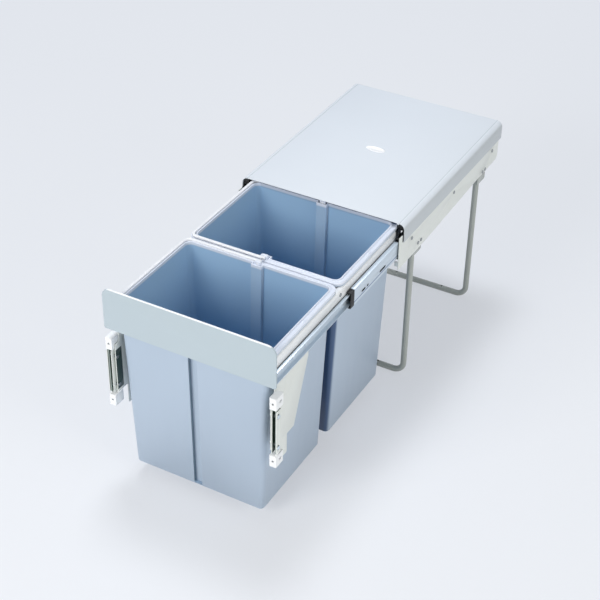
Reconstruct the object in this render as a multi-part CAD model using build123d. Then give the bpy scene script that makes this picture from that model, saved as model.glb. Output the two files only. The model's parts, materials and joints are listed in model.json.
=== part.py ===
from build123d import *
import os
from math import cos, radians, sin

# Double pull-out waste bin for a kitchen base cabinet, drawn out of the cabinet, in millimetres.
# X points right as seen from the cabinet door, Y to the back of the cabinet and Z up.
# The origin is on the floor, under the middle of the lid's front edge.
# Every solid is drawn on the right-hand side where it has a twin, and mirrored to the left.

# Lid that stays in the cabinet, folded from sheet
LID_WIDTH = 345.0
LID_DEPTH = 461.0
LID_TOP = 385.0
LID_SHEET = 1.2
LID_SHOULDER = 12.5
LID_FLANGE = 25.0
LID_REAR_FOLD = 10.0
LID_CREASE_WIDTH = 2.0
LID_CREASE_DEPTH = 0.5
BADGE_LENGTH = 40.6
BADGE_WIDTH = 18.2
BADGE_THICKNESS = 1.0
BADGE_BACKSET = 224.0

# Side brackets under the lid
BRACKET_SHEET = 1.5
BRACKET_LID_GAP = 0.3
BRACKET_TOP = 372.0
BRACKET_NOSE_TOP = 364.0
BRACKET_NOSE = 16.0
BRACKET_REAR_SETBACK = 9.0
BRACKET_LOW_FRONT = 295.0
BRACKET_LOW_REAR = 304.0
BRACKET_RAMP_START = 110.0
BRACKET_RAMP_SETBACK = 114.0
BRACKET_FOLD = 12.0
BRACKET_TAB = 6.5
BRACKET_TAB_HEIGHT = 10.0
BRACKET_CORNER = 3.0

# Telescopic slides with three members and two rows of balls
SLIDE_THICKNESS = 12.7
SLIDE_LENGTH = 450.0
SLIDE_AXIS_Z = 336.0
SLIDE_FRONT_SETBACK = 4.0
OUTER_HEIGHT = 45.0
OUTER_SHEET = 1.0
OUTER_FLANGE = 9.5
MIDDLE_HEIGHT = 34.0
MIDDLE_SHEET = 1.0
MIDDLE_LENGTH = 400.0
MIDDLE_FRONT_SHUT = 32.5
MIDDLE_FLANGE = 8.2
INNER_HEIGHT = 23.0
INNER_SHEET = 1.2
INNER_FLANGE = 7.7
WEB_GAP = 1.3
CARRIAGE_TRAVEL = 437.0
BALL_DIAMETER = 3.6
BALLS_IN_ROW = 6
CAGE_SHEET = 0.6
CAGE_ROW_INSET = 3.0
BALL_POCKET_GAP = 0.15
OUTER_CAGE_LENGTH = 180.0
INNER_CAGE_LENGTH = 150.0
CAGE_END_GAP = 10.0
END_STOP_LENGTH = 14.0
END_STOP_WALL = 2.2
END_STOP_GAP = 0.6
END_STOP_TONGUE = (8.0, 0.8, 12.0)

# Carriage frame
RAIL_SHEET = 1.5
RAIL_TOP = 369.0
RAIL_BOTTOM = 322.0
RAIL_FOLD = 7.8
RAIL_BEND = 3.5
CROSSBAR_FOLD = 8.5
FRONT_CROSSBAR_DROP = 42.0
REAR_CROSSBAR_DROP = 24.0
CROSSBAR_EAR = 18.0
CROSSBAR_GAP = 0.2
MIDDLE_BAR_WIDTH = 14.0
PANEL_LEAD = 24.0
PANEL_HEM_GAP = 7.5
PANEL_SHEET = 1.5
PANEL_BOTTOM = 322.0
PANEL_TOP = 405.0
PANEL_CORNER = 16.0
PANEL_LOW_CORNER = 3.0
PANEL_HEM = 3.0
PANEL_HEM_WIDTH = 7.0
SLIDE_PANEL_GAP = 3.0

# Plates that carry the door, one on each side of the carriage
PLATE_SHEET = 1.5
PLATE_BACK = 329.0
PLATE_KNEE_Z = 300.0
PLATE_STEP_Z = 180.0
PLATE_STEP_BACK = 376.0
PLATE_FOOT_Z = 139.0
PLATE_FOOT_BACK = 400.0
PLATE_FOOT_SETBACK = 36.0
PLATE_THROAT_SETBACK = 19.0
PLATE_TAB_SETBACK = 7.0
PLATE_TAB_TOP_Z = 286.0
CHANNEL_WIDTH = 10.0
CHANNEL_DEPTH = 14.5
CHANNEL_SHEET = 1.2
CHANNEL_BOTTOM_Z = 182.0
CHANNEL_TOP_Z = 273.0
CHANNEL_SPACER = 3.7
CHANNEL_SPACER_DIAMETER = 7.0

# Door brackets that slide up and down in the channels
DOOR_ADJUSTMENT = 4.0
CLIP_HEIGHT = 24.0
CLIP_DEPTH = 24.0
CLIP_WALL = 2.2
CLIP_GAP = 0.5
CLIP_SCREW_DIAMETER = 4.5
CLIP_SLOT = (9.0, 4.0)
STRIP_WIDTH = 8.0
STRIP_THICKNESS = 2.0
STRIP_BACKSET = 6.0
CLAMP_SCREW_DIAMETER = 4.0
CLAMP_SLOT_EXTRA = 0.8
CLAMP_SCREW_HEAD = 8.0
CLAMP_SCREW_HEIGHT = 1.8

# Legs bent from round bar
LEG_DIAMETER = 12.0
LEG_BEND = 22.0
LEG_FRONT_Y = 58.0
LEG_REAR_SETBACK = 96.0
LEG_TOP = 300.0
LEG_TAB_SHEET = 2.0
LEG_TAB_LENGTH = 38.0
LEG_TAB_LEAD = 8.0
LEG_TAB_BOTTOM = 285.0
LEG_TAB_GAP = 1.0
LEG_RIVET_DROP = 5.0
LEG_RIVET_OFFSETS = (11.0, 24.0)
FLOOR_HOLE_DIAMETER = 4.8
FLOOR_HOLE_SPACING = 108.0

# Fasteners
RIVET_DIAMETER = 4.0
RIVET_HEAD = 7.0
RIVET_HEAD_HEIGHT = 1.2
SLIDE_RIVET_SETBACK = 34.0
CARRIAGE_SCREW_DIAMETER = 4.0
CARRIAGE_SCREW_HEAD = 7.0
CARRIAGE_SCREW_HEIGHT = 2.2
CARRIAGE_SCREW_SETBACKS = (22.0, 72.0, 115.0, 237.0, 395.0)
NUT_ACROSS_FLATS = 7.0
NUT_HEIGHT = 3.2
STUD_SPACING = 120.0
STUD_DROP = 21.0

# Blocks that carry the lid on the brackets
REST_WIDTH = 10.0
REST_LENGTH = 26.0
REST_SETBACKS = (15.5, 51.0)
REST_SCREW_REACH = 5.0

# Bins
BIN_PITCH = 239.0
BIN_GAP = 0.4
BIN_BASE_Z = 24.0
BIN_BASE_WIDTH = 265.0
BIN_BASE_DEPTH = 207.5
BIN_TOP_WIDTH = 293.8
BIN_TOP_DEPTH = 220.0
BIN_WALL = 2.0
BIN_FLOOR = 2.5
BIN_BASE_CORNER = 9.0
BIN_TOP_CORNER = 13.0
BIN_FOOT = 3.5
CHANNEL_IN_WALL = 17.0
CHANNEL_IN_WALL_DEPTH = 8.0
RIM_WIDTH = 311.0
RIM_DEPTH = 235.6
RIM_CORNER = 18.0
RIM_FLOOR = 375.0
RIM_LIP = 2.6
RIM_LIP_WIDTH = 2.2
RIM_EDGE = 1.2
RIM_EDGE_WIDTH = 1.6
REST_PAD_LENGTH = 10.0
REST_PAD_WIDTH = 4.0
REST_PAD_HEIGHT = 0.9

# Bail handles of the bins
BAIL_WIDTH = 5.4
BAIL_HEIGHT = 4.4
BAIL_CORNER = 12.0
BAIL_EDGE = 1.3
BAIL_AXIS_RISE = 3.4
PIN_DIAMETER = 4.0
PIN_PLAY = 0.08
EYE_DIAMETER = 6.0
EAR_WIDTH = 12.0
EAR_THICKNESS = 5.6
EAR_ROOF = 1.6
EAR_SIDE_GAP = 0.3

# Places that follow from the sizes above
LID_HALF = LID_WIDTH / 2
REST_Y = (REST_SETBACKS[0], LID_DEPTH - REST_SETBACKS[1])
LEG_REAR_Y = LID_DEPTH - LEG_REAR_SETBACK
SLIDE_BACK = SLIDE_FRONT_SETBACK + SLIDE_LENGTH
SLIDE_RIVET_Y = (
    SLIDE_FRONT_SETBACK + SLIDE_RIVET_SETBACK,
    SLIDE_FRONT_SETBACK + SLIDE_LENGTH / 2,
    SLIDE_BACK - SLIDE_RIVET_SETBACK,
)
LID_UNDERSIDE = LID_TOP - LID_SHEET
FLANGE_BOTTOM = LID_TOP - LID_SHOULDER - LID_FLANGE
BRACKET_OUT = LID_HALF - LID_SHEET - BRACKET_LID_GAP
BRACKET_IN = BRACKET_OUT - BRACKET_SHEET
SLIDE_IN = BRACKET_IN - SLIDE_THICKNESS
MIDDLE_OUT = BRACKET_IN - OUTER_SHEET - WEB_GAP
RAIL_IN = SLIDE_IN - RAIL_SHEET
PLATE_IN = RAIL_IN - PLATE_SHEET
PANEL_WIDTH = 2 * (PLATE_IN + PANEL_HEM_GAP + PANEL_HEM_WIDTH)
PANEL_FRONT = -CARRIAGE_TRAVEL - PANEL_LEAD
PANEL_BACK = PANEL_FRONT + PANEL_SHEET
INNER_FRONT = PANEL_BACK + SLIDE_PANEL_GAP
MIDDLE_FRONT = MIDDLE_FRONT_SHUT - CARRIAGE_TRAVEL / 2
FRONT_BIN_Y = PANEL_FRONT + PANEL_HEM + BIN_GAP + RIM_DEPTH / 2
REAR_BIN_Y = FRONT_BIN_Y + BIN_PITCH
RAIL_BACK = REAR_BIN_Y + RIM_DEPTH / 2 + RAIL_SHEET + BIN_GAP
BAIL_AXIS = RIM_FLOOR + BAIL_AXIS_RISE
OUTER_ROW = (OUTER_HEIGHT / 2 - OUTER_SHEET + MIDDLE_HEIGHT / 2) / 2
INNER_ROW = (MIDDLE_HEIGHT / 2 - MIDDLE_SHEET + INNER_HEIGHT / 2) / 2
LEG_X = BRACKET_IN - LEG_DIAMETER / 2
LEG_RIVET_Z = SLIDE_AXIS_Z - OUTER_HEIGHT / 2 - LEG_RIVET_DROP
PLATE_FRONT = PANEL_BACK
CHANNEL_IN = RAIL_IN + CHANNEL_SPACER
CHANNEL_OUT = CHANNEL_IN + CHANNEL_WIDTH
TOP_CLIP_Z = CHANNEL_TOP_Z + DOOR_ADJUSTMENT
LOW_CLIP_Z = CHANNEL_BOTTOM_Z - DOOR_ADJUSTMENT - CLIP_HEIGHT


def left(shape):
    """The twin of a right-hand shape."""
    return mirror(shape, about=Plane.YZ)


def block(x0, x1, y0, y1, z0, z1):
    """A box between two corners."""
    return Pos((x0 + x1) / 2, (y0 + y1) / 2, (z0 + z1) / 2) * Box(x1 - x0, y1 - y0, z1 - z0)


def rod_x(x0, x1, y, z, diameter):
    """A cylinder along X."""
    return Pos((x0 + x1) / 2, y, z) * Rot(0, 90, 0) * Cylinder(diameter / 2, x1 - x0)


def rod_y(x, y0, y1, z, diameter):
    """A cylinder along Y."""
    return Pos(x, (y0 + y1) / 2, z) * Rot(90, 0, 0) * Cylinder(diameter / 2, y1 - y0)


def rod_z(x, y, z0, z1, diameter):
    """A cylinder along Z."""
    return Pos(x, y, (z0 + z1) / 2) * Cylinder(diameter / 2, z1 - z0)


def side_plate(points, x0, x1, radius=0.0):
    """A plate that lies across X, from its outline in Y and Z, with its corners rounded."""
    face = make_face(Polyline(*points, close=True))
    if radius:
        face = fillet(face.vertices(), radius)
    return Pos(x0, 0, 0) * extrude(Plane.YZ * face, x1 - x0)


def button(x, y, z, diameter, height):
    """A fastener's head that stands out along X from a face at x, with its rim eased."""
    head = rod_x(x, x + height, y, z, diameter)
    return fillet(head.edges().sort_by(Axis.X)[-1], height * 0.5)


def lid_profile(inset):
    """The lid's outline across X and Z, drawn in by a distance."""
    half, top, bend = LID_HALF - inset, LID_TOP - inset, LID_SHOULDER - inset
    arc = cos(radians(45)) * bend
    right = half - bend
    middle = top - bend
    line = Polyline((-half, middle), (-half, FLANGE_BOTTOM), (half, FLANGE_BOTTOM), (half, middle))
    line += ThreePointArc((half, middle), (right + arc, middle + arc), (right, top))
    line += Line((right, top), (-right, top))
    line += ThreePointArc((-right, top), (-right - arc, middle + arc), (-half, middle))
    return make_face(line)


def along_y(face, y0, y1):
    """An outline in X and Z, drawn out along Y."""
    return Pos(0, y1, 0) * extrude(Plane.XZ * face, y1 - y0)


def lid_cover():
    shell = along_y(lid_profile(0), 0, LID_DEPTH)
    shell -= along_y(lid_profile(LID_SHEET), -1, LID_DEPTH - LID_SHEET)
    low = FLANGE_BOTTOM - 1
    inside = LID_HALF - LID_SHEET
    shell -= block(-inside, inside, -1, LID_DEPTH - LID_SHEET, low, FLANGE_BOTTOM + 1)
    fold_low = LID_TOP - LID_SHOULDER - LID_REAR_FOLD
    shell -= block(-inside, inside, LID_DEPTH - 2 * LID_SHEET, LID_DEPTH + 1, low, fold_low)
    crease = LID_HALF - LID_SHOULDER
    for side in (-1, 1):
        x = side * crease
        half = LID_CREASE_WIDTH / 2
        shell -= block(x - half, x + half, -1, LID_DEPTH + 1, LID_TOP - LID_CREASE_DEPTH, LID_TOP + 1)
    return shell


def lid_badge():
    oval = extrude(Ellipse(BADGE_LENGTH / 2, BADGE_WIDTH / 2), BADGE_THICKNESS)
    oval = fillet(oval.edges().sort_by(Axis.Z)[-1], BADGE_THICKNESS * 0.4)
    return Pos(0, BADGE_BACKSET, LID_TOP) * oval


def side_bracket():
    """The right-hand bracket: an upright web, a fold under the lid and a tab at its nose."""
    rear = LID_DEPTH - BRACKET_REAR_SETBACK
    bottom = BRACKET_LOW_REAR
    points = [
        (-BRACKET_NOSE, BRACKET_NOSE_TOP),
        (BRACKET_SHEET, BRACKET_NOSE_TOP),
        (BRACKET_SHEET, BRACKET_TOP),
        (rear, BRACKET_TOP),
        (rear, bottom + 2 * BRACKET_CORNER),
        (rear - 2 * BRACKET_CORNER, bottom),
        (LID_DEPTH - BRACKET_RAMP_SETBACK, bottom),
        (BRACKET_RAMP_START, BRACKET_LOW_FRONT),
        (-BRACKET_NOSE, BRACKET_LOW_FRONT),
    ]
    bracket = side_plate(points, BRACKET_IN, BRACKET_OUT)
    fold_x, fold_z = BRACKET_OUT - BRACKET_FOLD, BRACKET_TOP - BRACKET_SHEET
    bracket += block(fold_x, BRACKET_IN, BRACKET_SHEET, rear, fold_z, BRACKET_TOP)
    tab_z = SLIDE_AXIS_Z - OUTER_HEIGHT / 2 - LEG_TAB_GAP
    tab_x, tab_y = BRACKET_IN - BRACKET_TAB, -BRACKET_NOSE
    bracket += block(tab_x, BRACKET_IN, tab_y, tab_y + BRACKET_SHEET, tab_z - BRACKET_TAB_HEIGHT, tab_z)
    for y in SLIDE_RIVET_Y:
        bracket -= rod_x(BRACKET_IN - 1, BRACKET_OUT + 1, y, SLIDE_AXIS_Z, RIVET_DIAMETER)
    for leg_y in (LEG_FRONT_Y, LEG_REAR_Y):
        for offset in LEG_RIVET_OFFSETS:
            bracket -= rod_x(BRACKET_IN - 1, BRACKET_OUT + 1, leg_y + offset, LEG_RIVET_Z, RIVET_DIAMETER)
    for y in REST_Y:
        bracket -= rod_z(rest_x(), y, BRACKET_TOP - BRACKET_SHEET - 1, BRACKET_TOP + 1, RIVET_DIAMETER)
    return bracket


def rest_x():
    """The middle of a lid rest, over the bracket's fold."""
    return BRACKET_OUT - BRACKET_FOLD + REST_WIDTH / 2


def lid_rest(y):
    """A block on the bracket's fold whose top follows the inside of the lid's shoulder."""
    x = rest_x()
    half = REST_WIDTH / 2
    body = block(x - half, x + half, y - REST_LENGTH / 2, y + REST_LENGTH / 2, BRACKET_TOP, LID_TOP)
    body &= along_y(lid_profile(LID_SHEET), y - REST_LENGTH, y + REST_LENGTH)
    return body - rod_z(x, y, BRACKET_TOP - 1, BRACKET_TOP + REST_SCREW_REACH, RIVET_DIAMETER)


def lid_rest_screw(y):
    x = rest_x()
    low = BRACKET_TOP - BRACKET_SHEET
    shank = rod_z(x, y, low, BRACKET_TOP + REST_SCREW_REACH, RIVET_DIAMETER)
    return shank + rod_z(x, y, low - RIVET_HEAD_HEIGHT, low, RIVET_HEAD)


def leg(y):
    """A bar bent into a U that stands on the floor, with a flat tab welded to each end."""
    low = LEG_DIAMETER / 2
    corners = [(-LEG_X, y, LEG_TOP), (-LEG_X, y, low), (LEG_X, y, low), (LEG_X, y, LEG_TOP)]
    route = FilletPolyline(*corners, radius=LEG_BEND)
    section = Plane(origin=(-LEG_X, y, LEG_TOP), z_dir=(0, 0, -1)) * Circle(LEG_DIAMETER / 2)
    bar = sweep(section, path=route)
    tab_top = SLIDE_AXIS_Z - OUTER_HEIGHT / 2 - LEG_TAB_GAP
    y0 = y - LEG_TAB_LEAD
    tab = block(BRACKET_IN - LEG_TAB_SHEET, BRACKET_IN, y0, y0 + LEG_TAB_LENGTH, LEG_TAB_BOTTOM, tab_top)
    tab = fillet(tab.edges().filter_by(Axis.X), BRACKET_CORNER)
    for offset in LEG_RIVET_OFFSETS:
        tab -= rod_x(BRACKET_IN - 5, BRACKET_IN + 1, y + offset, LEG_RIVET_Z, RIVET_DIAMETER)
    bar += tab + left(tab)
    for x in (-FLOOR_HOLE_SPACING, 0, FLOOR_HOLE_SPACING):
        bar -= rod_z(x, y, -1, LEG_DIAMETER + 1, FLOOR_HOLE_DIAMETER)
    return bar


def rivet(y, z, x_in):
    """A rivet through the bracket, with its head outside and its tail flush at x_in."""
    shank = rod_x(x_in, BRACKET_OUT, y, z, RIVET_DIAMETER)
    return shank + button(BRACKET_OUT, y, z, RIVET_HEAD, RIVET_HEAD_HEIGHT)


def leg_rivets():
    tail = BRACKET_IN - LEG_TAB_SHEET
    places = [y + offset for y in (LEG_FRONT_Y, LEG_REAR_Y) for offset in LEG_RIVET_OFFSETS]
    right = [rivet(y, LEG_RIVET_Z, tail) for y in places]
    return right + [left(r) for r in right]


def slide_rivets():
    right = [rivet(y, SLIDE_AXIS_Z, BRACKET_IN - OUTER_SHEET) for y in SLIDE_RIVET_Y]
    return right + [left(r) for r in right]


def slide_member(web_x, sheet, flange, height, y0, y1, outward):
    """A C section: its web is at web_x, and its flanges point outward or inward."""
    reach = flange if outward else -flange
    x0, x1 = sorted((web_x, web_x + reach))
    body = block(x0, x1, y0, y1, SLIDE_AXIS_Z - height / 2, SLIDE_AXIS_Z + height / 2)
    step = sheet if outward else -sheet
    c0, c1 = sorted((web_x + step, web_x + 2 * reach))
    low, high = SLIDE_AXIS_Z - height / 2 + sheet, SLIDE_AXIS_Z + height / 2 - sheet
    body -= block(c0, c1, y0 - 1, y1 + 1, low, high)
    web_edges = body.edges().filter_by(Axis.Y).group_by(Axis.X)[0 if outward else -1]
    return fillet(web_edges, sheet * 0.9)


def slide_outer():
    y0 = SLIDE_FRONT_SETBACK
    body = slide_member(BRACKET_IN, OUTER_SHEET, OUTER_FLANGE, OUTER_HEIGHT, y0, SLIDE_BACK, False)
    for y in SLIDE_RIVET_Y:
        body -= rod_x(BRACKET_IN - 3, BRACKET_IN + 1, y, SLIDE_AXIS_Z, RIVET_DIAMETER)
    return body


def slide_middle():
    y0 = MIDDLE_FRONT
    y1 = y0 + MIDDLE_LENGTH
    body = slide_member(MIDDLE_OUT, MIDDLE_SHEET, MIDDLE_FLANGE, MIDDLE_HEIGHT, y0, y1, False)
    slots = ((36.0, 15.0), (52.0, 7.0), (111.0, 24.0))
    for back, length in slots:
        hole = SlotOverall(length, 5.0)
        y = y0 + back
        body -= Pos(MIDDLE_OUT - 3, y, SLIDE_AXIS_Z - 4) * extrude(Plane.YZ * hole, 5)
    return body


def slide_inner():
    y0 = INNER_FRONT
    body = slide_member(SLIDE_IN, INNER_SHEET, INNER_FLANGE, INNER_HEIGHT, y0, y0 + SLIDE_LENGTH, True)
    for y in carriage_screw_ys():
        body -= rod_x(SLIDE_IN - 1, SLIDE_IN + 3, y, SLIDE_AXIS_Z, CARRIAGE_SCREW_DIAMETER)
    return body


def carriage_screw_ys():
    return [PANEL_FRONT + setback for setback in CARRIAGE_SCREW_SETBACKS]


def end_stop(web_out, sheet, height, y0):
    """A plastic C on a member's front end, held by a tongue inside its web."""
    half = height / 2 - END_STOP_GAP
    x0 = web_out - OUTER_FLANGE + END_STOP_GAP
    y1 = y0 + END_STOP_LENGTH
    body = block(x0, web_out, y0, y1, SLIDE_AXIS_Z - half, SLIDE_AXIS_Z + half)
    free = half - END_STOP_WALL
    inside = web_out - sheet
    body -= block(x0 - 1, inside, y0 - 1, y1 + 1, SLIDE_AXIS_Z - free, SLIDE_AXIS_Z + free)
    length, thick, wide = END_STOP_TONGUE
    z0, z1 = SLIDE_AXIS_Z - wide / 2, SLIDE_AXIS_Z + wide / 2
    return body + block(inside - thick, inside, y1 - thick, y1 + length, z0, z1)


def middle_end_stop():
    return end_stop(MIDDLE_OUT, MIDDLE_SHEET, MIDDLE_HEIGHT, MIDDLE_FRONT - END_STOP_LENGTH)


def outer_end_stop():
    height = OUTER_HEIGHT
    return end_stop(BRACKET_IN, OUTER_SHEET, height, SLIDE_FRONT_SETBACK - END_STOP_LENGTH)


def ball_ys(y0, length):
    step = (length - 2 * CAGE_ROW_INSET * 2) / (BALLS_IN_ROW - 1)
    return [y0 + 2 * CAGE_ROW_INSET + step * i for i in range(BALLS_IN_ROW)]


def ball_cage(web_out, row, ball_x, y0, length):
    """A C of thin sheet that runs between two members, with a pocket round each ball."""
    half = row + CAGE_SHEET / 2
    x0 = ball_x - BALL_DIAMETER / 2 - CAGE_SHEET
    body = block(x0, web_out, y0, y0 + length, SLIDE_AXIS_Z - half, SLIDE_AXIS_Z + half)
    free = half - CAGE_SHEET
    inside = web_out - CAGE_SHEET
    body -= block(x0 - 1, inside, y0 - 1, y0 + length + 1, SLIDE_AXIS_Z - free, SLIDE_AXIS_Z + free)
    pocket = BALL_DIAMETER + 2 * BALL_POCKET_GAP
    for side in (-1, 1):
        z = SLIDE_AXIS_Z + side * row
        for y in ball_ys(y0, length):
            body -= rod_z(ball_x, y, z - 2, z + 2, pocket)
    return body


def balls(row, ball_x, y0, length):
    ball = Sphere(BALL_DIAMETER / 2)
    rows = (SLIDE_AXIS_Z - row, SLIDE_AXIS_Z + row)
    return [Pos(ball_x, y, z) * ball for z in rows for y in ball_ys(y0, length)]


OUTER_CAGE_Y = SLIDE_FRONT_SETBACK + CAGE_END_GAP
INNER_CAGE_Y = MIDDLE_FRONT + CAGE_END_GAP
OUTER_CAGE_OUT = BRACKET_IN - OUTER_SHEET - (WEB_GAP - CAGE_SHEET) / 2
INNER_CAGE_OUT = MIDDLE_OUT - MIDDLE_SHEET - (WEB_GAP - CAGE_SHEET) / 2
OUTER_BALL_X = MIDDLE_OUT - MIDDLE_FLANGE / 2
INNER_BALL_X = SLIDE_IN + INNER_SHEET + INNER_FLANGE / 2


def carriage_rail():
    """The right-hand rail: an upright web with its top folded in under the bins' rims."""
    top = RAIL_TOP
    y0, y1 = PANEL_BACK, RAIL_BACK
    rail = block(SLIDE_IN - RAIL_FOLD, SLIDE_IN, y0, y1, RAIL_BOTTOM, top)
    rail -= block(SLIDE_IN - RAIL_FOLD - 1, RAIL_IN, y0 - 1, y1 + 1, RAIL_BOTTOM - 1, top - RAIL_SHEET)
    corner = rail.edges().filter_by(Axis.Y).group_by(Axis.X)[-1].sort_by(Axis.Z)[-1]
    rail = fillet(corner, RAIL_BEND)
    for y in carriage_screw_ys():
        rail -= rod_x(RAIL_IN - 1, SLIDE_IN + 1, y, SLIDE_AXIS_Z, CARRIAGE_SCREW_DIAMETER)
    for y, z in crossbar_rivet_places():
        rail -= rod_x(RAIL_IN - 1, SLIDE_IN + 1, y, z, RIVET_DIAMETER)
    return rail


def middle_bar_y():
    return (FRONT_BIN_Y + REAR_BIN_Y) / 2


def crossbar_rivet_places():
    """Where the rear and the middle crossbar are riveted to each rail."""
    rear = (RAIL_BACK - CROSSBAR_EAR / 2, RAIL_TOP - REAR_CROSSBAR_DROP / 2)
    return [rear, (middle_bar_y(), RAIL_TOP - RAIL_SHEET - CROSSBAR_EAR / 2)]


def front_crossbar():
    """An angle behind the panel, with an ear against the inside of each door plate."""
    half = SLIDE_IN - RAIL_FOLD - CROSSBAR_GAP
    low = RAIL_TOP - FRONT_CROSSBAR_DROP
    bar = block(-half, half, PANEL_BACK, PANEL_BACK + CROSSBAR_FOLD, RAIL_TOP - RAIL_SHEET, RAIL_TOP)
    under = RAIL_TOP - RAIL_SHEET
    bar += block(-PLATE_IN, PLATE_IN, PANEL_BACK, PANEL_BACK + RAIL_SHEET, low, under)
    ear_x, ear_y = PLATE_IN - RAIL_SHEET, PANEL_BACK + 2 * CROSSBAR_EAR
    ear = block(ear_x, PLATE_IN, PANEL_BACK, ear_y, low, SLIDE_AXIS_Z + CROSSBAR_EAR / 2)
    y = carriage_screw_ys()[0]
    ear -= rod_x(PLATE_IN - 3, PLATE_IN + 1, y, SLIDE_AXIS_Z, CARRIAGE_SCREW_DIAMETER)
    bar += ear + left(ear)
    for x in (-STUD_SPACING, 0, STUD_SPACING):
        bar -= rod_y(x, PANEL_BACK - 1, PANEL_BACK + 3, RAIL_TOP - STUD_DROP, RIVET_DIAMETER)
    return bar


def rear_crossbar():
    """An angle behind the rear bin, riveted to the ends of the rails."""
    y1 = RAIL_BACK
    y0 = y1 - RAIL_SHEET
    half = SLIDE_IN - RAIL_FOLD - CROSSBAR_GAP
    bar = block(-half, half, y1 - CROSSBAR_FOLD, y1, RAIL_TOP - RAIL_SHEET, RAIL_TOP)
    under = RAIL_TOP - RAIL_SHEET
    bar += block(-RAIL_IN, RAIL_IN, y0, y1, RAIL_TOP - REAR_CROSSBAR_DROP, under)
    ear_z = RAIL_TOP - REAR_CROSSBAR_DROP
    ear = block(RAIL_IN - RAIL_SHEET, RAIL_IN, y1 - CROSSBAR_EAR, y1, ear_z, under)
    y, z = crossbar_rivet_places()[0]
    ear -= rod_x(RAIL_IN - 3, RAIL_IN + 1, y, z, RIVET_DIAMETER)
    return bar + ear + left(ear)


def middle_crossbar():
    """A flat strip across the rails, between the walls of the two bins."""
    y, z = crossbar_rivet_places()[1]
    y0, y1 = y - MIDDLE_BAR_WIDTH / 2, y + MIDDLE_BAR_WIDTH / 2
    z1 = RAIL_TOP - RAIL_SHEET
    half = RAIL_IN - CROSSBAR_GAP
    bar = block(-half, half, y0, y1, z1 - RAIL_SHEET, z1)
    ear = block(RAIL_IN - RAIL_SHEET, RAIL_IN, y0, y1, z1 - CROSSBAR_EAR, z1)
    ear -= rod_x(RAIL_IN - 3, RAIL_IN + 1, y, z, RIVET_DIAMETER)
    return bar + ear + left(ear)


def crossbar_rivet(y, z):
    """A rivet through a rail and an ear, with low heads on both sides."""
    shank = rod_x(RAIL_IN - RAIL_SHEET, SLIDE_IN, y, z, RIVET_DIAMETER)
    inner = rod_x(RAIL_IN - RAIL_SHEET - RIVET_HEAD_HEIGHT, RAIL_IN - RAIL_SHEET, y, z, RIVET_HEAD)
    return shank + inner + button(SLIDE_IN, y, z, RIVET_HEAD, RIVET_HEAD_HEIGHT)


def front_panel():
    """The strip in front of the bins, with a hem folded flat behind its top and its ends."""
    size = (PANEL_WIDTH, PANEL_TOP - PANEL_BOTTOM)
    height = (PANEL_TOP + PANEL_BOTTOM) / 2

    def outline(inset):
        face = Pos(0, height) * Rectangle(size[0] - 2 * inset, size[1] - 2 * inset)
        rows = face.vertices().group_by(Axis.Y)
        face = fillet(rows[-1], PANEL_CORNER - inset)
        return fillet(face.vertices().group_by(Axis.Y)[0], PANEL_LOW_CORNER)

    y0, y1 = PANEL_FRONT, PANEL_FRONT + PANEL_HEM
    panel = along_y(outline(0), y0, y0 + PANEL_SHEET)
    hem = along_y(outline(0) - outline(PANEL_HEM_WIDTH), y0, y1)
    inside = PANEL_WIDTH / 2 - PANEL_HEM_WIDTH
    low = PANEL_BOTTOM + PANEL_HEM_WIDTH
    return panel + (hem - block(-inside, inside, y0, y1, PANEL_BOTTOM - 1, low))


def panel_stud(x):
    y0 = PANEL_BACK
    return rod_y(x, y0, y0 + RAIL_SHEET + NUT_HEIGHT + 1, RAIL_TOP - STUD_DROP, RIVET_DIAMETER)


def nut_y(x):
    """A nut on a panel stud."""
    y0 = PANEL_BACK + RAIL_SHEET
    z = RAIL_TOP - STUD_DROP
    hexagon = Pos(x, z) * RegularPolygon(NUT_ACROSS_FLATS / 2, 6, major_radius=False)
    nut = along_y(hexagon, y0, y0 + NUT_HEIGHT)
    return nut - rod_y(x, y0 - 1, y0 + NUT_HEIGHT + 1, z, RIVET_DIAMETER)


def carriage_screw(y, x_in):
    """A screw that holds the slide's inner member to the rail, and the plate at the front."""
    seat = SLIDE_IN + INNER_SHEET
    shank = rod_x(x_in - NUT_HEIGHT - 0.6, seat, y, SLIDE_AXIS_Z, CARRIAGE_SCREW_DIAMETER)
    return shank + button(seat, y, SLIDE_AXIS_Z, CARRIAGE_SCREW_HEAD, CARRIAGE_SCREW_HEIGHT)


def nut_x(y, x_in):
    hexagon = Pos(y, SLIDE_AXIS_Z) * RegularPolygon(NUT_ACROSS_FLATS / 2, 6, major_radius=False)
    body = Pos(x_in - NUT_HEIGHT, 0, 0) * extrude(Plane.YZ * hexagon, NUT_HEIGHT)
    return body - rod_x(x_in - NUT_HEIGHT - 1, x_in + 1, y, SLIDE_AXIS_Z, CARRIAGE_SCREW_DIAMETER)


def plate_screw_ys():
    """The slide screws that also hold the door's plate."""
    return [y for y in carriage_screw_ys() if y < -PLATE_BACK]


def carriage_stack():
    """Each slide screw's place, and the inner face of the sheets that it clamps."""
    ear, *others = plate_screw_ys()
    rail = [y for y in carriage_screw_ys() if y > -PLATE_BACK]
    return [(ear, PLATE_IN - RAIL_SHEET)] + [(y, PLATE_IN) for y in others] + [(y, RAIL_IN) for y in rail]


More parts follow.
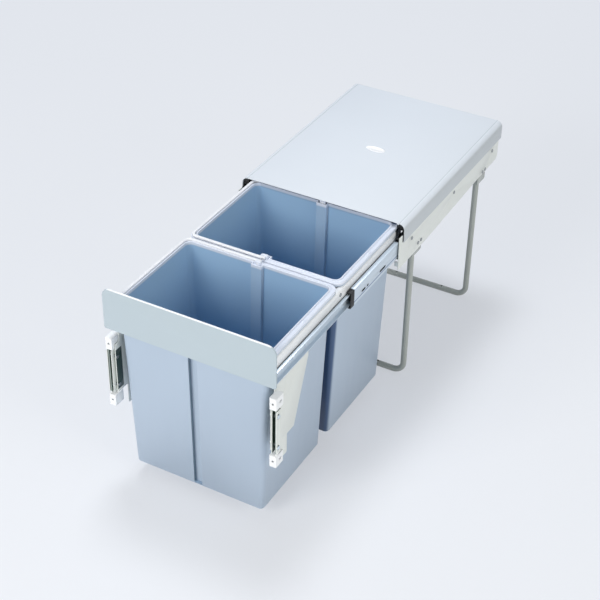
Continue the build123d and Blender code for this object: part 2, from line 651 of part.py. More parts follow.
def door_side_plate():
    """The right-hand plate that carries the door, inside the rail and the slide."""
    top = SLIDE_AXIS_Z + INNER_HEIGHT / 2
    foot = PANEL_FRONT + PLATE_FOOT_SETBACK
    throat = PANEL_FRONT + PLATE_THROAT_SETBACK
    tab = PANEL_FRONT + PLATE_TAB_SETBACK
    points = [
        (PLATE_FRONT, top),
        (-PLATE_BACK, top),
        (-PLATE_BACK, PLATE_KNEE_Z),
        (-PLATE_STEP_BACK, PLATE_STEP_Z),
        (-PLATE_FOOT_BACK, PLATE_STEP_Z),
        (-PLATE_FOOT_BACK, PLATE_FOOT_Z),
        (foot, PLATE_FOOT_Z),
        (foot, CHANNEL_BOTTOM_Z),
        (tab, CHANNEL_BOTTOM_Z),
        (tab, PLATE_TAB_TOP_Z),
        (throat, PLATE_TAB_TOP_Z),
        (throat, PANEL_BOTTOM + PLATE_SHEET),
        (PLATE_FRONT, PANEL_BOTTOM + PLATE_SHEET),
    ]
    plate = side_plate(points, PLATE_IN, RAIL_IN, 2.0)
    for y in plate_screw_ys():
        plate -= rod_x(PLATE_IN - 1, RAIL_IN + 1, y, SLIDE_AXIS_Z, CARRIAGE_SCREW_DIAMETER)
    y = channel_rivet_y()
    for z in channel_rivet_zs():
        plate -= rod_x(PLATE_IN - 1, RAIL_IN + 1, y, z, RIVET_DIAMETER)
    return plate


def channel_rivet_y():
    return PLATE_FRONT + CHANNEL_DEPTH - CHANNEL_SHEET - RIVET_HEAD / 2 - 0.5


def channel_rivet_zs():
    third = (CHANNEL_TOP_Z - CHANNEL_BOTTOM_Z) / 6
    return (CHANNEL_BOTTOM_Z + third, CHANNEL_TOP_Z - third)


def door_channel():
    """A channel, open to the front, riveted to the door plate with a spacer between them."""
    y0, y1 = PLATE_FRONT, PLATE_FRONT + CHANNEL_DEPTH
    body = block(CHANNEL_IN, CHANNEL_OUT, y0, y1, CHANNEL_BOTTOM_Z, CHANNEL_TOP_Z)
    inner = (CHANNEL_IN + CHANNEL_SHEET, CHANNEL_OUT - CHANNEL_SHEET)
    body -= block(*inner, y0 - 1, y1 - CHANNEL_SHEET, CHANNEL_BOTTOM_Z - 1, CHANNEL_TOP_Z + 1)
    back = body.edges().filter_by(Axis.Z).group_by(Axis.Y)[-1]
    body = fillet(back, CHANNEL_SHEET * 0.9)
    for z in channel_rivet_zs():
        body -= rod_x(CHANNEL_IN - 1, CHANNEL_IN + CHANNEL_SHEET + 1, channel_rivet_y(), z, RIVET_DIAMETER)
    for z in clamp_zs():
        reach = CLAMP_SCREW_DIAMETER + CLAMP_SLOT_EXTRA
        slot = SlotOverall(reach + 2 * DOOR_ADJUSTMENT, reach, rotation=90)
        body -= Pos(CHANNEL_OUT - 3, clamp_y(), z) * extrude(Plane.YZ * slot, 6)
    return body


def channel_rivet(z):
    """A rivet with a thick middle that keeps the channel off the plate."""
    y = channel_rivet_y()
    x1 = CHANNEL_IN + CHANNEL_SHEET
    shank = rod_x(PLATE_IN, x1, y, z, RIVET_DIAMETER)
    shank += rod_x(RAIL_IN, CHANNEL_IN, y, z, CHANNEL_SPACER_DIAMETER)
    inner = rod_x(PLATE_IN - RIVET_HEAD_HEIGHT, PLATE_IN, y, z, RIVET_HEAD)
    return shank + inner + button(x1, y, z, RIVET_HEAD, RIVET_HEAD_HEIGHT)


def clamp_y():
    return PLATE_FRONT + STRIP_BACKSET


def clamp_zs():
    inset = 2 * DOOR_ADJUSTMENT + CLAMP_SCREW_DIAMETER
    return (CHANNEL_BOTTOM_Z + inset, CHANNEL_TOP_Z - inset)


def strip_x():
    """The door bracket's strip lies against the inside of the channel's outer flange."""
    x1 = CHANNEL_OUT - CHANNEL_SHEET - CLIP_GAP
    return x1 - STRIP_THICKNESS, x1


def door_bracket():
    """A strip in the channel with a box-shaped clip at each end, which the door is screwed to."""
    x0, x1 = strip_x()
    half = STRIP_WIDTH / 2
    low, high = LOW_CLIP_Z + CLIP_HEIGHT, TOP_CLIP_Z
    body = block(x0, x1, clamp_y() - half, clamp_y() + half, low - 1, high + 1)
    for z0 in (LOW_CLIP_Z, TOP_CLIP_Z):
        body += door_clip(z0)
    for z in clamp_zs():
        body -= rod_x(x0 - 1, x1 + 1, clamp_y(), z, CLAMP_SCREW_DIAMETER)
    return body


def door_clip(z0):
    x0, x1 = RAIL_IN + CLIP_GAP, CHANNEL_OUT
    y0, y1 = PANEL_FRONT, PANEL_FRONT + CLIP_DEPTH
    z1 = z0 + CLIP_HEIGHT
    clip = block(x0, x1, y0, y1, z0, z1)
    clip = fillet(clip.edges().filter_by(Axis.Z), CLIP_WALL * 0.5)
    clip -= block(x0 + CLIP_WALL, x1 - CLIP_WALL, y0 + CLIP_WALL, y1 + 1, z0 + CLIP_WALL, z1 - CLIP_WALL)
    clip -= rod_y(clip_screw_x(), y0 - 1, y0 + CLIP_WALL + 1, z0 + CLIP_HEIGHT / 2, CLIP_SCREW_DIAMETER)
    slot = Pos(y0 + CLIP_DEPTH * 0.6, z0 + CLIP_HEIGHT / 2) * SlotOverall(*CLIP_SLOT)
    return clip - Pos(x1 - CLIP_WALL - 1, 0, 0) * extrude(Plane.YZ * slot, CLIP_WALL + 2)


def clip_screw_x():
    return (RAIL_IN + CLIP_GAP + CHANNEL_OUT) / 2


def clamp_screw(z):
    """An adjusting screw: its head is outside the channel and its end is in the strip."""
    x0, _ = strip_x()
    y = clamp_y()
    shank = rod_x(x0, CHANNEL_OUT, y, z, CLAMP_SCREW_DIAMETER)
    return shank + button(CHANNEL_OUT, y, z, CLAMP_SCREW_HEAD, CLAMP_SCREW_HEIGHT)


def bin_outline(half_x, half_y, radius, notch_half, inset):
    """A rounded rectangle with a notch in the middle of its front and back sides."""
    face = RectangleRounded(2 * (half_x - inset), 2 * (half_y - inset), radius)
    depth = CHANNEL_IN_WALL_DEPTH
    notch = Rectangle(2 * (notch_half + inset), 2 * depth)
    edge = half_y - inset
    face -= Pos(0, edge) * notch
    face -= Pos(0, -edge) * notch
    return face


def bin_sizes(z):
    """Half the bin's width, half its depth and its corner radius at a height."""
    share = (z - BIN_BASE_Z) / (RIM_FLOOR - BIN_BASE_Z)
    half_x = (BIN_BASE_WIDTH + (BIN_TOP_WIDTH - BIN_BASE_WIDTH) * share) / 2
    half_y = (BIN_BASE_DEPTH + (BIN_TOP_DEPTH - BIN_BASE_DEPTH) * share) / 2
    return half_x, half_y, BIN_BASE_CORNER + (BIN_TOP_CORNER - BIN_BASE_CORNER) * share


def bin_section(z, inset, extra=0.0):
    """The bin's outline at a height, drawn in from the outside by the wall or more."""
    half_x, half_y, corner = bin_sizes(z)
    outline = bin_outline(half_x, half_y, corner - inset, CHANNEL_IN_WALL / 2, inset + extra)
    return Pos(0, 0, z) * outline


def foot_section(z, inset):
    """The foot's outline, which runs straight past the channels in the walls and closes them."""
    half_x, half_y, corner = bin_sizes(z)
    return Pos(0, 0, z) * RectangleRounded(2 * (half_x - inset), 2 * (half_y - inset), corner)


def waste_bin(y):
    """A tapered bin with a rim that hangs on the carriage, and ears for its handle."""
    foot_z = BIN_BASE_Z + BIN_FOOT
    under = RIM_FLOOR - BIN_WALL
    outside = loft([foot_section(BIN_BASE_Z, BIN_FOOT * 0.7), foot_section(foot_z, 0)], ruled=True)
    outside += loft([bin_section(foot_z, 0), bin_section(under, 0)], ruled=True)
    rim_height = RIM_FLOOR + RIM_EDGE - RAIL_TOP
    rim = Pos(0, 0, RAIL_TOP) * extrude(RectangleRounded(RIM_WIDTH, RIM_DEPTH, RIM_CORNER), rim_height)
    edge = 2 * RIM_EDGE_WIDTH
    groove = RectangleRounded(RIM_WIDTH - edge, RIM_DEPTH - edge, RIM_CORNER - RIM_EDGE_WIDTH)
    rim -= Pos(0, 0, RIM_FLOOR) * extrude(groove, RIM_EDGE + 1)
    rim -= Pos(0, 0, RAIL_TOP - 1) * extrude(groove, under - RAIL_TOP + 1)
    lip_face = bin_section(RIM_FLOOR, BIN_WALL, -RIM_LIP_WIDTH)
    rim += extrude(lip_face, RIM_LIP)
    body = outside + rim
    ear_y0 = ear_span()[0]
    for side in (-1, 1):
        y0, y1 = sorted((side * ear_y0, side * ear_span()[1]))
        ear = block(-EAR_WIDTH / 2, EAR_WIDTH / 2, y0, y1, RIM_FLOOR - 1, ear_top())
        ear = fillet(ear.edges().filter_by(Axis.Y).group_by(Axis.Z)[-1], EAR_ROOF)
        body += ear
        pad = Box(REST_PAD_WIDTH, REST_PAD_LENGTH, REST_PAD_HEIGHT + 1)
        body += Pos(side * bail_x(), 0, RIM_FLOOR + (REST_PAD_HEIGHT - 1) / 2) * pad
    floor_z = BIN_BASE_Z + BIN_FLOOR
    top_z = RIM_FLOOR
    body -= loft([bin_section(floor_z, BIN_WALL), bin_section(top_z, BIN_WALL)], ruled=True)
    body -= extrude(bin_section(top_z, BIN_WALL), RIM_LIP + 1)
    bore = PIN_DIAMETER + 2 * PIN_PLAY
    for side in (-1, 1):
        y0, y1 = sorted((side * (ear_y0 - 1), side * (ear_span()[1] + 1)))
        body -= rod_y(0, y0, y1, BAIL_AXIS, bore)
    return Pos(0, y, 0) * body


def bail_y():
    """The bail's bar runs in the middle of the rim's groove."""
    inner = BIN_TOP_DEPTH / 2 - BIN_WALL + RIM_LIP_WIDTH
    return (inner + RIM_DEPTH / 2 - RIM_EDGE_WIDTH) / 2


def bail_x():
    inner = BIN_TOP_WIDTH / 2 - BIN_WALL + RIM_LIP_WIDTH
    return (inner + RIM_WIDTH / 2 - RIM_EDGE_WIDTH) / 2


def ear_span():
    y1 = bail_y() - BAIL_WIDTH / 2 - EAR_SIDE_GAP
    return y1 - EAR_THICKNESS, y1


def ear_top():
    return BAIL_AXIS + PIN_DIAMETER / 2 + PIN_PLAY + EAR_ROOF


def bin_handle(y):
    """A bail that lies on the left half of the rim, with a pin in each ear."""
    x1, y1 = -bail_x(), bail_y()
    route = FilletPolyline((0, -y1, 0), (x1, -y1, 0), (x1, y1, 0), (0, y1, 0), radius=BAIL_CORNER)
    start = Plane(origin=(0, -y1, 0), x_dir=(0, 1, 0), z_dir=(-1, 0, 0))
    section = start * RectangleRounded(BAIL_WIDTH, BAIL_HEIGHT, BAIL_EDGE)
    bail = sweep(section, path=route)
    for side in (-1, 1):
        inner = side * (y1 - BAIL_WIDTH / 2)
        outer = side * (y1 + BAIL_WIDTH / 2)
        bail += rod_y(0, *sorted((inner, outer)), 0, EYE_DIAMETER)
        tip = side * (ear_span()[0] - 0.5)
        bail += rod_y(0, *sorted((tip, outer)), 0, PIN_DIAMETER)
    return Pos(0, y, BAIL_AXIS) * bail


def write(name, shape):
    """One file for each node. A list of solids makes one group."""
    solids = shape if isinstance(shape, list) else [shape]
    flat = [s for item in solids for s in item.solids()]
    whole = flat[0] if len(flat) == 1 else Compound(children=flat)
    whole.label = name
    export_step(whole, f"parts/{name}.step")


def pair(name, shape):
    """A right-hand node and its twin."""
    shapes = shape if isinstance(shape, list) else [shape]
    write(f"{name}_right", shapes)
    write(f"{name}_left", [left(s) for s in shapes])


os.makedirs("parts", exist_ok=True)

write("lid_cover", lid_cover())
write("lid_badge", lid_badge())
pair("side_bracket", side_bracket())
rests = [lid_rest(y) for y in REST_Y]
write("lid_rests", rests + [left(r) for r in rests])
rest_screws = [lid_rest_screw(y) for y in REST_Y]
write("lid_rest_screws", rest_screws + [left(r) for r in rest_screws])
write("front_leg", leg(LEG_FRONT_Y))
write("rear_leg", leg(LEG_REAR_Y))
write("leg_rivets", leg_rivets())
write("slide_rivets", slide_rivets())

pair("slide_outer", slide_outer())
pair("outer_end_stop", outer_end_stop())
pair("slide_middle", slide_middle())
pair("middle_end_stop", middle_end_stop())
pair("slide_inner", slide_inner())
outer_row = (OUTER_ROW, OUTER_BALL_X, OUTER_CAGE_Y, OUTER_CAGE_LENGTH)
pair("outer_ball_cage", ball_cage(OUTER_CAGE_OUT, *outer_row))
pair("outer_balls", balls(*outer_row))
inner_row = (INNER_ROW, INNER_BALL_X, INNER_CAGE_Y, INNER_CAGE_LENGTH)
pair("inner_ball_cage", ball_cage(INNER_CAGE_OUT, *inner_row))
pair("inner_balls", balls(*inner_row))

pair("carriage_rail", carriage_rail())
write("front_crossbar", front_crossbar())
write("middle_crossbar", middle_crossbar())
write("rear_crossbar", rear_crossbar())
crossbar_rivets = [crossbar_rivet(y, z) for y, z in crossbar_rivet_places()]
write("crossbar_rivets", crossbar_rivets + [left(r) for r in crossbar_rivets])
write("front_panel", front_panel())
stud_xs = (-STUD_SPACING, 0, STUD_SPACING)
write("panel_studs", [panel_stud(x) for x in stud_xs])
write("panel_nuts", [nut_y(x) for x in stud_xs])
screws = [carriage_screw(y, x) for y, x in carriage_stack()]
write("slide_screws", screws + [left(s) for s in screws])
nuts = [nut_x(y, x) for y, x in carriage_stack()]
write("slide_nuts", nuts + [left(n) for n in nuts])

pair("door_side_plate", door_side_plate())
pair("door_channel", door_channel())
channel_rivets = [channel_rivet(z) for z in channel_rivet_zs()]
write("channel_rivets", channel_rivets + [left(r) for r in channel_rivets])
pair("door_bracket", door_bracket())
pair("clamp_screws", [clamp_screw(z) for z in clamp_zs()])

write("front_bin", waste_bin(FRONT_BIN_Y))
write("rear_bin", waste_bin(REAR_BIN_Y))
write("front_bin_handle", bin_handle(FRONT_BIN_Y))
write("rear_bin_handle", bin_handle(REAR_BIN_Y))
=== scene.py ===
# %% [markdown]
# # A double pull-out waste bin, dressed for its picture
#
# The object is a kitchen fitting. A sheet steel lid stays in the cabinet on two bent legs. Two plastic bins
# hang in a carriage that runs out on ball slides, and the cabinet's door is screwed to the carriage's front.
#
# The construction comes packed from the CAD model: every piece at its real size, in metres. This script gives
# each piece its finish. Where a moulded or folded shape needs softer edges than the model has, it builds that
# piece again in the same place, with the tools that a modeller uses by hand.

# %% Set up
import json
import math

import bmesh
import bpy
from mathutils import Matrix, Vector


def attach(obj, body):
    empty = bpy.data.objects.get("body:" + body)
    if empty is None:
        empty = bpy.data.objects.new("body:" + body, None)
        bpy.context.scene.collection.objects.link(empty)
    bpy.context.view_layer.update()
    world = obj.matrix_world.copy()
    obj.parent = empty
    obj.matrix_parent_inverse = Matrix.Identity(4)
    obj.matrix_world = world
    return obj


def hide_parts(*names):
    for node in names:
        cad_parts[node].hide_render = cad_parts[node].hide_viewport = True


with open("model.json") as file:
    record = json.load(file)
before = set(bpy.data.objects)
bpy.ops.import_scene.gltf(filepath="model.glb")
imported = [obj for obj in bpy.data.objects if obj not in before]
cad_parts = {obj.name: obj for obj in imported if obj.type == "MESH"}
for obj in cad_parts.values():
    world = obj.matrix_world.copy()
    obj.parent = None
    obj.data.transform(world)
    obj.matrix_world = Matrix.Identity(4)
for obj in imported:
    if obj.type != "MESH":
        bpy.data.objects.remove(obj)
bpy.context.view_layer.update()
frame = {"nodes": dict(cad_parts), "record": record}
nodes = frame["nodes"]
MM = 0.001


def metres(*values):
    return tuple(value * MM for value in values)


# %% [markdown]
# ## The camera
#
# A photographer stood in front of the bins and to their right, and looked down at them with a long lens. The
# place, the angles and the lens below were worked out from the edges of the lid and the bins in the picture.
# Azimuth is the turn to the right of the object's front, elevation is the height above the horizon, and the
# picture is also tilted by about a degree.

# %% The camera
CAMERA_PLACE = Vector((1.0463, -1.9975, 1.7513))
CAMERA_AZIMUTH = math.radians(28.58)
CAMERA_ELEVATION = math.radians(35.27)
CAMERA_ROLL = math.radians(1.01)
LENS = 84.79

back = Vector((
    math.sin(CAMERA_AZIMUTH) * math.cos(CAMERA_ELEVATION),
    -math.cos(CAMERA_AZIMUTH) * math.cos(CAMERA_ELEVATION),
    math.sin(CAMERA_ELEVATION),
))
level = Vector((0, 0, 1)).cross(back).normalized()
right = Matrix.Rotation(CAMERA_ROLL, 3, back) @ level
turn = Matrix((right, back.cross(right), back)).transposed().to_4x4()

bpy.ops.object.camera_add()
camera = bpy.context.object
camera.name = "camera"
camera.data.lens = LENS
camera.data.clip_end = 50
camera.matrix_world = Matrix.Translation(CAMERA_PLACE) @ turn
bpy.context.scene.camera = camera
print("camera at", tuple(round(v, 3) for v in camera.location))

# %% [markdown]
# ## Floor, backdrop and light
#
# A fitting like this is photographed on a white sweep of paper, under large soft lamps. The floor is a plain
# pale plane, and part of its tone comes from a glow that only the camera and reflections see, so it stays
# nearly white and still shows the shadows. Away from the object the glow takes over, because the lamps don't
# reach that far. The world shows them the same tone, so no horizon is seen, and is weak where it lights the
# object.
#
# A broad lamp hangs high behind the bins, and two stand low in front and at the right. The high one lights
# the lid and leaves a short shadow. Inside a bin it only meets the walls that the camera doesn't see, so the
# others are lit by what the blue walls throw on. That makes the inside darker and bluer than the outside, as
# in a real deep bin, and a painted bounce light of the same blue on the inside walls adds to it.

# %% Floor, backdrop and light
FLOOR_HALF = 12.0
FLOOR_COLOR = (0.89, 0.90, 0.92, 1)
FLOOR_GLOW = (0.78, 0.81, 0.87, 1)
GLOW_SHARE = 0.54
GLOW_NEAR, GLOW_FAR = 0.9, 3.0
LAMP_SIZE = 1.3
AIM = Vector((0.0, -0.15, 0.2))
AMBIENT = (0.90, 0.95, 1.0, 1)
AMBIENT_STRENGTH = 0.30
LAMPS = {
    "high_lamp": (Vector((-0.9, 1.0, 4.5)), 102.0, (0.92, 0.95, 1.0)),
    "front_lamp": (Vector((-0.7, -2.9, 1.6)), 50.0, (1.0, 0.97, 0.93)),
    "right_lamp": (Vector((2.8, -0.7, 1.3)), 27.0, (1.0, 0.97, 0.90)),
}


def shader_nodes(tree):
    """An emptied node tree, and a function that adds a node of a kind with its values."""
    tree.nodes.clear()

    def add(kind, **values):
        node = tree.nodes.new(kind)
        for key, value in values.items():
            setattr(node, key, value)
        return node

    return add


def seen_as(tree, add, shader, color):
    """The shader, replaced by plain colour where the camera, a reflection or glass looks at it."""
    path = add("ShaderNodeLightPath")
    mix = add("ShaderNodeMixShader")
    plain = add("ShaderNodeBackground" if shader.type == "BACKGROUND" else "ShaderNodeEmission")
    plain.inputs["Color"].default_value = color
    seen = path.outputs["Is Camera Ray"]
    for kind in ("Is Glossy Ray", "Is Transmission Ray"):
        either = add("ShaderNodeMath", operation="MAXIMUM")
        tree.links.new(seen, either.inputs[0])
        tree.links.new(path.outputs[kind], either.inputs[1])
        seen = either.outputs[0]
    tree.links.new(seen, mix.inputs["Fac"])
    tree.links.new(shader.outputs[0], mix.inputs[1])
    tree.links.new(plain.outputs[0], mix.inputs[2])
    return mix


world = bpy.data.worlds.new("studio")
bpy.context.scene.world = world
world.use_nodes = True
add = shader_nodes(world.node_tree)
ambient = add("ShaderNodeBackground")
ambient.inputs["Color"].default_value = AMBIENT
ambient.inputs["Strength"].default_value = AMBIENT_STRENGTH
sky = seen_as(world.node_tree, add, ambient, FLOOR_GLOW)
world.node_tree.links.new(sky.outputs[0], add("ShaderNodeOutputWorld").inputs["Surface"])

for name, (place, power, color) in LAMPS.items():
    bpy.ops.object.light_add(type="AREA", location=place)
    light = bpy.context.object
    light.name = name
    light.data.energy = power
    light.data.size = LAMP_SIZE
    light.data.color = color
    light.rotation_euler = (AIM - place).to_track_quat("-Z", "Y").to_euler()

bpy.ops.mesh.primitive_plane_add(size=2 * FLOOR_HALF)
floor = bpy.context.object
floor.name = "floor"
paper = bpy.data.materials.new("paper")
paper.use_nodes = True
add = shader_nodes(paper.node_tree)
surface = add("ShaderNodeBsdfDiffuse")
surface.inputs["Color"].default_value = FLOOR_COLOR
glowing = seen_as(paper.node_tree, add, surface, FLOOR_GLOW)
share = add("ShaderNodeMixShader")
spot = add("ShaderNodeTexCoord")
distance = add("ShaderNodeVectorMath", operation="LENGTH")
fade = add("ShaderNodeMapRange")
for socket, value in (("From Min", GLOW_NEAR), ("From Max", GLOW_FAR), ("To Min", GLOW_SHARE)):
    fade.inputs[socket].default_value = value
link = paper.node_tree.links.new
link(spot.outputs["Object"], distance.inputs[0])
link(distance.outputs["Value"], fade.inputs["Value"])
link(fade.outputs["Result"], share.inputs["Fac"])
link(surface.outputs[0], share.inputs[1])
link(glowing.outputs[0], share.inputs[2])
link(share.outputs[0], add("ShaderNodeOutputMaterial").inputs["Surface"])
floor.data.materials.append(paper)
bpy.context.scene.view_settings.view_transform = "Standard"

# %% [markdown]
# ## Effects that several finishes share
#
# Powder paint dries with a faint orange peel. Moulded plastic shows the grain of its mould and how it flowed.
# Rolled zinc sheet has streaks along its length. Each effect is a node group with named inputs and outputs,
# built once here. A material then sets its own colour and amounts. The groups put out a colour, a roughness
# and a height, and the shader stays in the material.

# %% Node groups
PAINT_TINT, PAINT_GLOSS, ORANGE_PEEL = 5.0, 40.0, 700.0
PLASTIC_TINT, PLASTIC_GLOSS, MOULD_GRAIN = 15.0, 50.0, 1600.0
ZINC_TINT, ZINC_GLOSS, ZINC_RELIEF = 260.0, 520.0, 780.0
UPWARD_FLOW, BROAD_STREAKS, FINE_STREAKS = (1, 1, 0.25), (1, 0.02, 1), (1, 0.03, 1)
NOISE_DETAIL, NOISE_MIDDLE = 2.0, 0.5


def new_group(name, colors, amounts, results):
    """An empty group with colour inputs, amounts with their usual values, and the outputs named."""
    group = bpy.data.node_groups.new(name, "ShaderNodeTree")

    def new_socket(socket, side, kind):
        return group.interface.new_socket(socket, in_out=side, socket_type="NodeSocket" + kind)

    for socket in colors:
        new_socket(socket, "INPUT", "Color")
    for socket, value in amounts.items():
        new_socket(socket, "INPUT", "Float").default_value = value
    for socket in results:
        new_socket(socket, "OUTPUT", "Color" if socket == "Color" else "Float")
    return group


def noise(group, add, scale, stretch=(1, 1, 1)):
    """Noise in the object's own coordinates, drawn out along an axis where stretch is under one."""
    place = add("ShaderNodeTexCoord")
    mapping = add("ShaderNodeMapping")
    texture = add("ShaderNodeTexNoise")
    mapping.inputs["Scale"].default_value = stretch
    texture.inputs["Scale"].default_value = scale
    texture.inputs["Detail"].default_value = NOISE_DETAIL
    group.links.new(place.outputs["Object"], mapping.inputs["Vector"])
    group.links.new(mapping.outputs["Vector"], texture.inputs["Vector"])
    return texture.outputs["Fac"]


def about_middle(group, add, value, amount):
    """The noise value, spread about zero and multiplied by an input."""
    centred = add("ShaderNodeMath", operation="SUBTRACT")
    scaled = add("ShaderNodeMath", operation="MULTIPLY")
    centred.inputs[1].default_value = NOISE_MIDDLE
    group.links.new(value, centred.inputs[0])
    group.links.new(centred.outputs[0], scaled.inputs[0])
    group.links.new(amount, scaled.inputs[1])
    return scaled.outputs[0]


def finish_group(name, amounts, tint_from, rough_from, height_from):
    """A finish whose colour, roughness and height each come from a noise of their own."""
    group = new_group(name, ["Color"], amounts, ["Color", "Roughness", "Height"])
    add, link = shader_nodes(group), group.links.new
    given = add("NodeGroupInput")
    result = add("NodeGroupOutput")

    tint = about_middle(group, add, noise(group, add, **tint_from), given.outputs["Tint"])
    one = add("ShaderNodeMath", operation="ADD")
    one.inputs[1].default_value = 1.0
    link(tint, one.inputs[0])
    shade = add("ShaderNodeVectorMath", operation="SCALE")
    link(given.outputs["Color"], shade.inputs[0])
    link(one.outputs[0], shade.inputs["Scale"])
    link(shade.outputs["Vector"], result.inputs["Color"])

    uneven = about_middle(group, add, noise(group, add, **rough_from), given.outputs["Unevenness"])
    rough = add("ShaderNodeMath", operation="ADD")
    link(given.outputs["Roughness"], rough.inputs[0])
    link(uneven, rough.inputs[1])
    link(rough.outputs[0], result.inputs["Roughness"])

    height = about_middle(group, add, noise(group, add, **height_from), given.outputs["Relief"])
    link(height, result.inputs["Height"])
    return group


powder_paint = finish_group(
    "powder_paint",
    {"Roughness": 0.4, "Tint": 0.05, "Unevenness": 0.15, "Relief": 0.05},
    {"scale": PAINT_TINT},
    {"scale": PAINT_GLOSS},
    {"scale": ORANGE_PEEL},
)
moulded_plastic = finish_group(
    "moulded_plastic",
    {"Roughness": 0.5, "Tint": 0.06, "Unevenness": 0.12, "Relief": 0.06},
    {"scale": PLASTIC_TINT, "stretch": UPWARD_FLOW},
    {"scale": PLASTIC_GLOSS, "stretch": UPWARD_FLOW},
    {"scale": MOULD_GRAIN},
)
rolled_zinc = finish_group(
    "rolled_zinc",
    {"Roughness": 0.35, "Tint": 0.12, "Unevenness": 0.2, "Relief": 0.04},
    {"scale": ZINC_TINT, "stretch": BROAD_STREAKS},
    {"scale": ZINC_GLOSS, "stretch": FINE_STREAKS},
    {"scale": ZINC_RELIEF, "stretch": FINE_STREAKS},
)
print("node groups:", [group.name for group in (powder_paint, moulded_plastic, rolled_zinc)])

# %% [markdown]
# ## Colour that changes at a place
#
# Some colours change over a part, and all of these changes are painted light and shade. A bin's rim and the
# front strip's top edge get a painted highlight. The lid's sides and the crease beside each shoulder get
# painted shade. So do the slot inside a door channel, the strip within it and the inner faces of the side
# plates, which are painted dark green. The slides are painted near black inside near their front, as painted
# shade, a seam of painted shade runs where they meet the rails, a painted blue line of shade runs along the
# middle slide's bead, and what runs in and out under the lid, with the bracket's front end beneath it, is
# painted dark in the lid's shade. On the bins, the inside walls are painted the deeper blue that the plastic's
# own bounce light gives, and the channel, the gap between the bins and the rear bin's back rim under the lid
# get painted shade.
#
# Each change is a mask made from the part's own coordinates, mostly by soft steps along one axis. The bins
# need one number more, which is how deep a place lies under the outer skin. A bin is a rounded box that
# tapers, so that depth is the corner's radius less the distance to the box between the corners' centres.

# %% Masks by place
# A Mix node has sockets of the same names for every kind of value, so its colour sockets go by number.
MIX_FROM, MIX_TO, MIX_RESULT = 6, 7, 2


def calculate(group, operation, *values):
    """One sum on sockets and numbers."""
    sum_node = group.nodes.new("ShaderNodeMath")
    sum_node.operation = operation
    for place, value in enumerate(values):
        if isinstance(value, float):
            sum_node.inputs[place].default_value = value
        else:
            group.links.new(value, sum_node.inputs[place])
    return sum_node.outputs[0]


def map_range(group, value, start, end, low=0.0, high=1.0):
    """From low at the start to high at the end, where start and end are in millimetres."""
    step = group.nodes.new("ShaderNodeMapRange")
    step.inputs["From Min"].default_value = start * MM
    step.inputs["From Max"].default_value = end * MM
    step.inputs["To Min"].default_value = low
    step.inputs["To Max"].default_value = high
    group.links.new(value, step.inputs["Value"])
    return step.outputs["Result"]


def product(group, *values):
    """All the masks multiplied."""
    total = values[0]
    for value in values[1:]:
        total = calculate(group, "MULTIPLY", total, value)
    return total


def within(group, value, low, high, soft=0.4):
    """One between two limits, with soft ends."""
    rise = map_range(group, value, low - soft, low)
    fall = map_range(group, value, high + soft, high)
    return product(group, rise, fall)


def mask_group(name, make_mask):
    """A group that mixes a Color towards an Other Color by a mask, times an Amount."""
    group = new_group(name, ["Color", "Other Color"], {"Amount": 1.0}, ["Color"])
    add, link = shader_nodes(group), group.links.new
    given = add("NodeGroupInput")
    place = add("ShaderNodeTexCoord")
    split = add("ShaderNodeSeparateXYZ")
    link(place.outputs["Object"], split.inputs["Vector"])
    far_x = calculate(group, "ABSOLUTE", split.outputs["X"])
    mask = make_mask(group, far_x, split.outputs["Y"], split.outputs["Z"])
    mask = product(group, mask, given.outputs["Amount"])
    mix = add("ShaderNodeMix", data_type="RGBA")
    link(mask, mix.inputs["Factor"])
    link(given.outputs["Color"], mix.inputs[MIX_FROM])
    link(given.outputs["Other Color"], mix.inputs[MIX_TO])
    link(mix.outputs[MIX_RESULT], add("NodeGroupOutput").inputs["Color"])
    return group


print("helpers for masks: sums, ranges, products and limits")

# %% [markdown]
# On paint and metal, the masks mark painted shade and painted highlight: painted shade on the lid's sides and
# crease, in a slot, on an inner face, in a seam, inside the slides and along a bead, a painted highlight along
# an edge, and painted shade on what the lid's front edge keeps in its shade. Most of them are boxes, and the
# same box counts on the left.

# %% Masks on paint and zinc
# Each box marks a painted shade: the slot in a door channel, the side plates' inner faces, the seam at the
# rails, the inside of the slides near the front, a line along the middle slide's bead, and the bracket under
# the lid.
BOXES = {
    "painted_slot_shade": ((160.1, 167.9), (-457.0, -440.0), (181.0, 274.0)),
    "painted_plate_shade": ((150.0, 153.9), (-470.0, -438.0), (188.0, 273.0)),
    "painted_seam_shade": ((156.0, 159.0), (-460.0, 0.0), (347.3, 349.0)),
    "painted_slide_inside_shade": ((150.0, 166.4), (-185.0, 0.0), (322.0, 350.0)),
    "painted_bead_shade": ((166.6, 168.0), (-190.0, 0.0), (325.4, 327.0)),
    "painted_shade_under_lid": ((150.0, 171.2), (-3.0, 70.0), (349.5, 384.0)),
}
# Across the lid, its sides and the crease beside each shoulder get painted shade between these places.
SHOULDER_X, CREASE_X = (170.0, 171.8), (160.2, 161.4)
SHADED_RAIL_Y, SHADED_SLIDE_Y, SHADED_TO_Y = -3.0, -12.0, 21.0
# The height of the front strip's top edge, which gets a painted highlight.
HIGHLIGHT_EDGE_Z = (403.2, 404.4)
SOFT_X, SOFT_Y, SOFT_CREASE = 0.1, 2.0, 0.6


def limits_mask(limits_x, limits_y, limits_z):
    """A mask that is one inside a box on each side of the object."""
    def make_mask(group, far_x, y, z):
        return product(
            group,
            within(group, far_x, *limits_x, soft=SOFT_X),
            within(group, y, *limits_y, soft=SOFT_Y),
            within(group, z, *limits_z),
        )
    return make_mask


def side_mask(group, far_x, y, z):
    return map_range(group, far_x, *SHOULDER_X)


def crease_mask(group, far_x, y, z):
    return within(group, far_x, *CREASE_X, soft=SOFT_CREASE)


def edge_mask(group, far_x, y, z):
    return map_range(group, z, *HIGHLIGHT_EDGE_Z)


def shaded_mask(from_y):
    """A mask for what lies in the shade of the lid's front edge."""
    def make_mask(group, far_x, y, z):
        return within(group, y, from_y, SHADED_TO_Y, soft=SOFT_Y)
    return make_mask
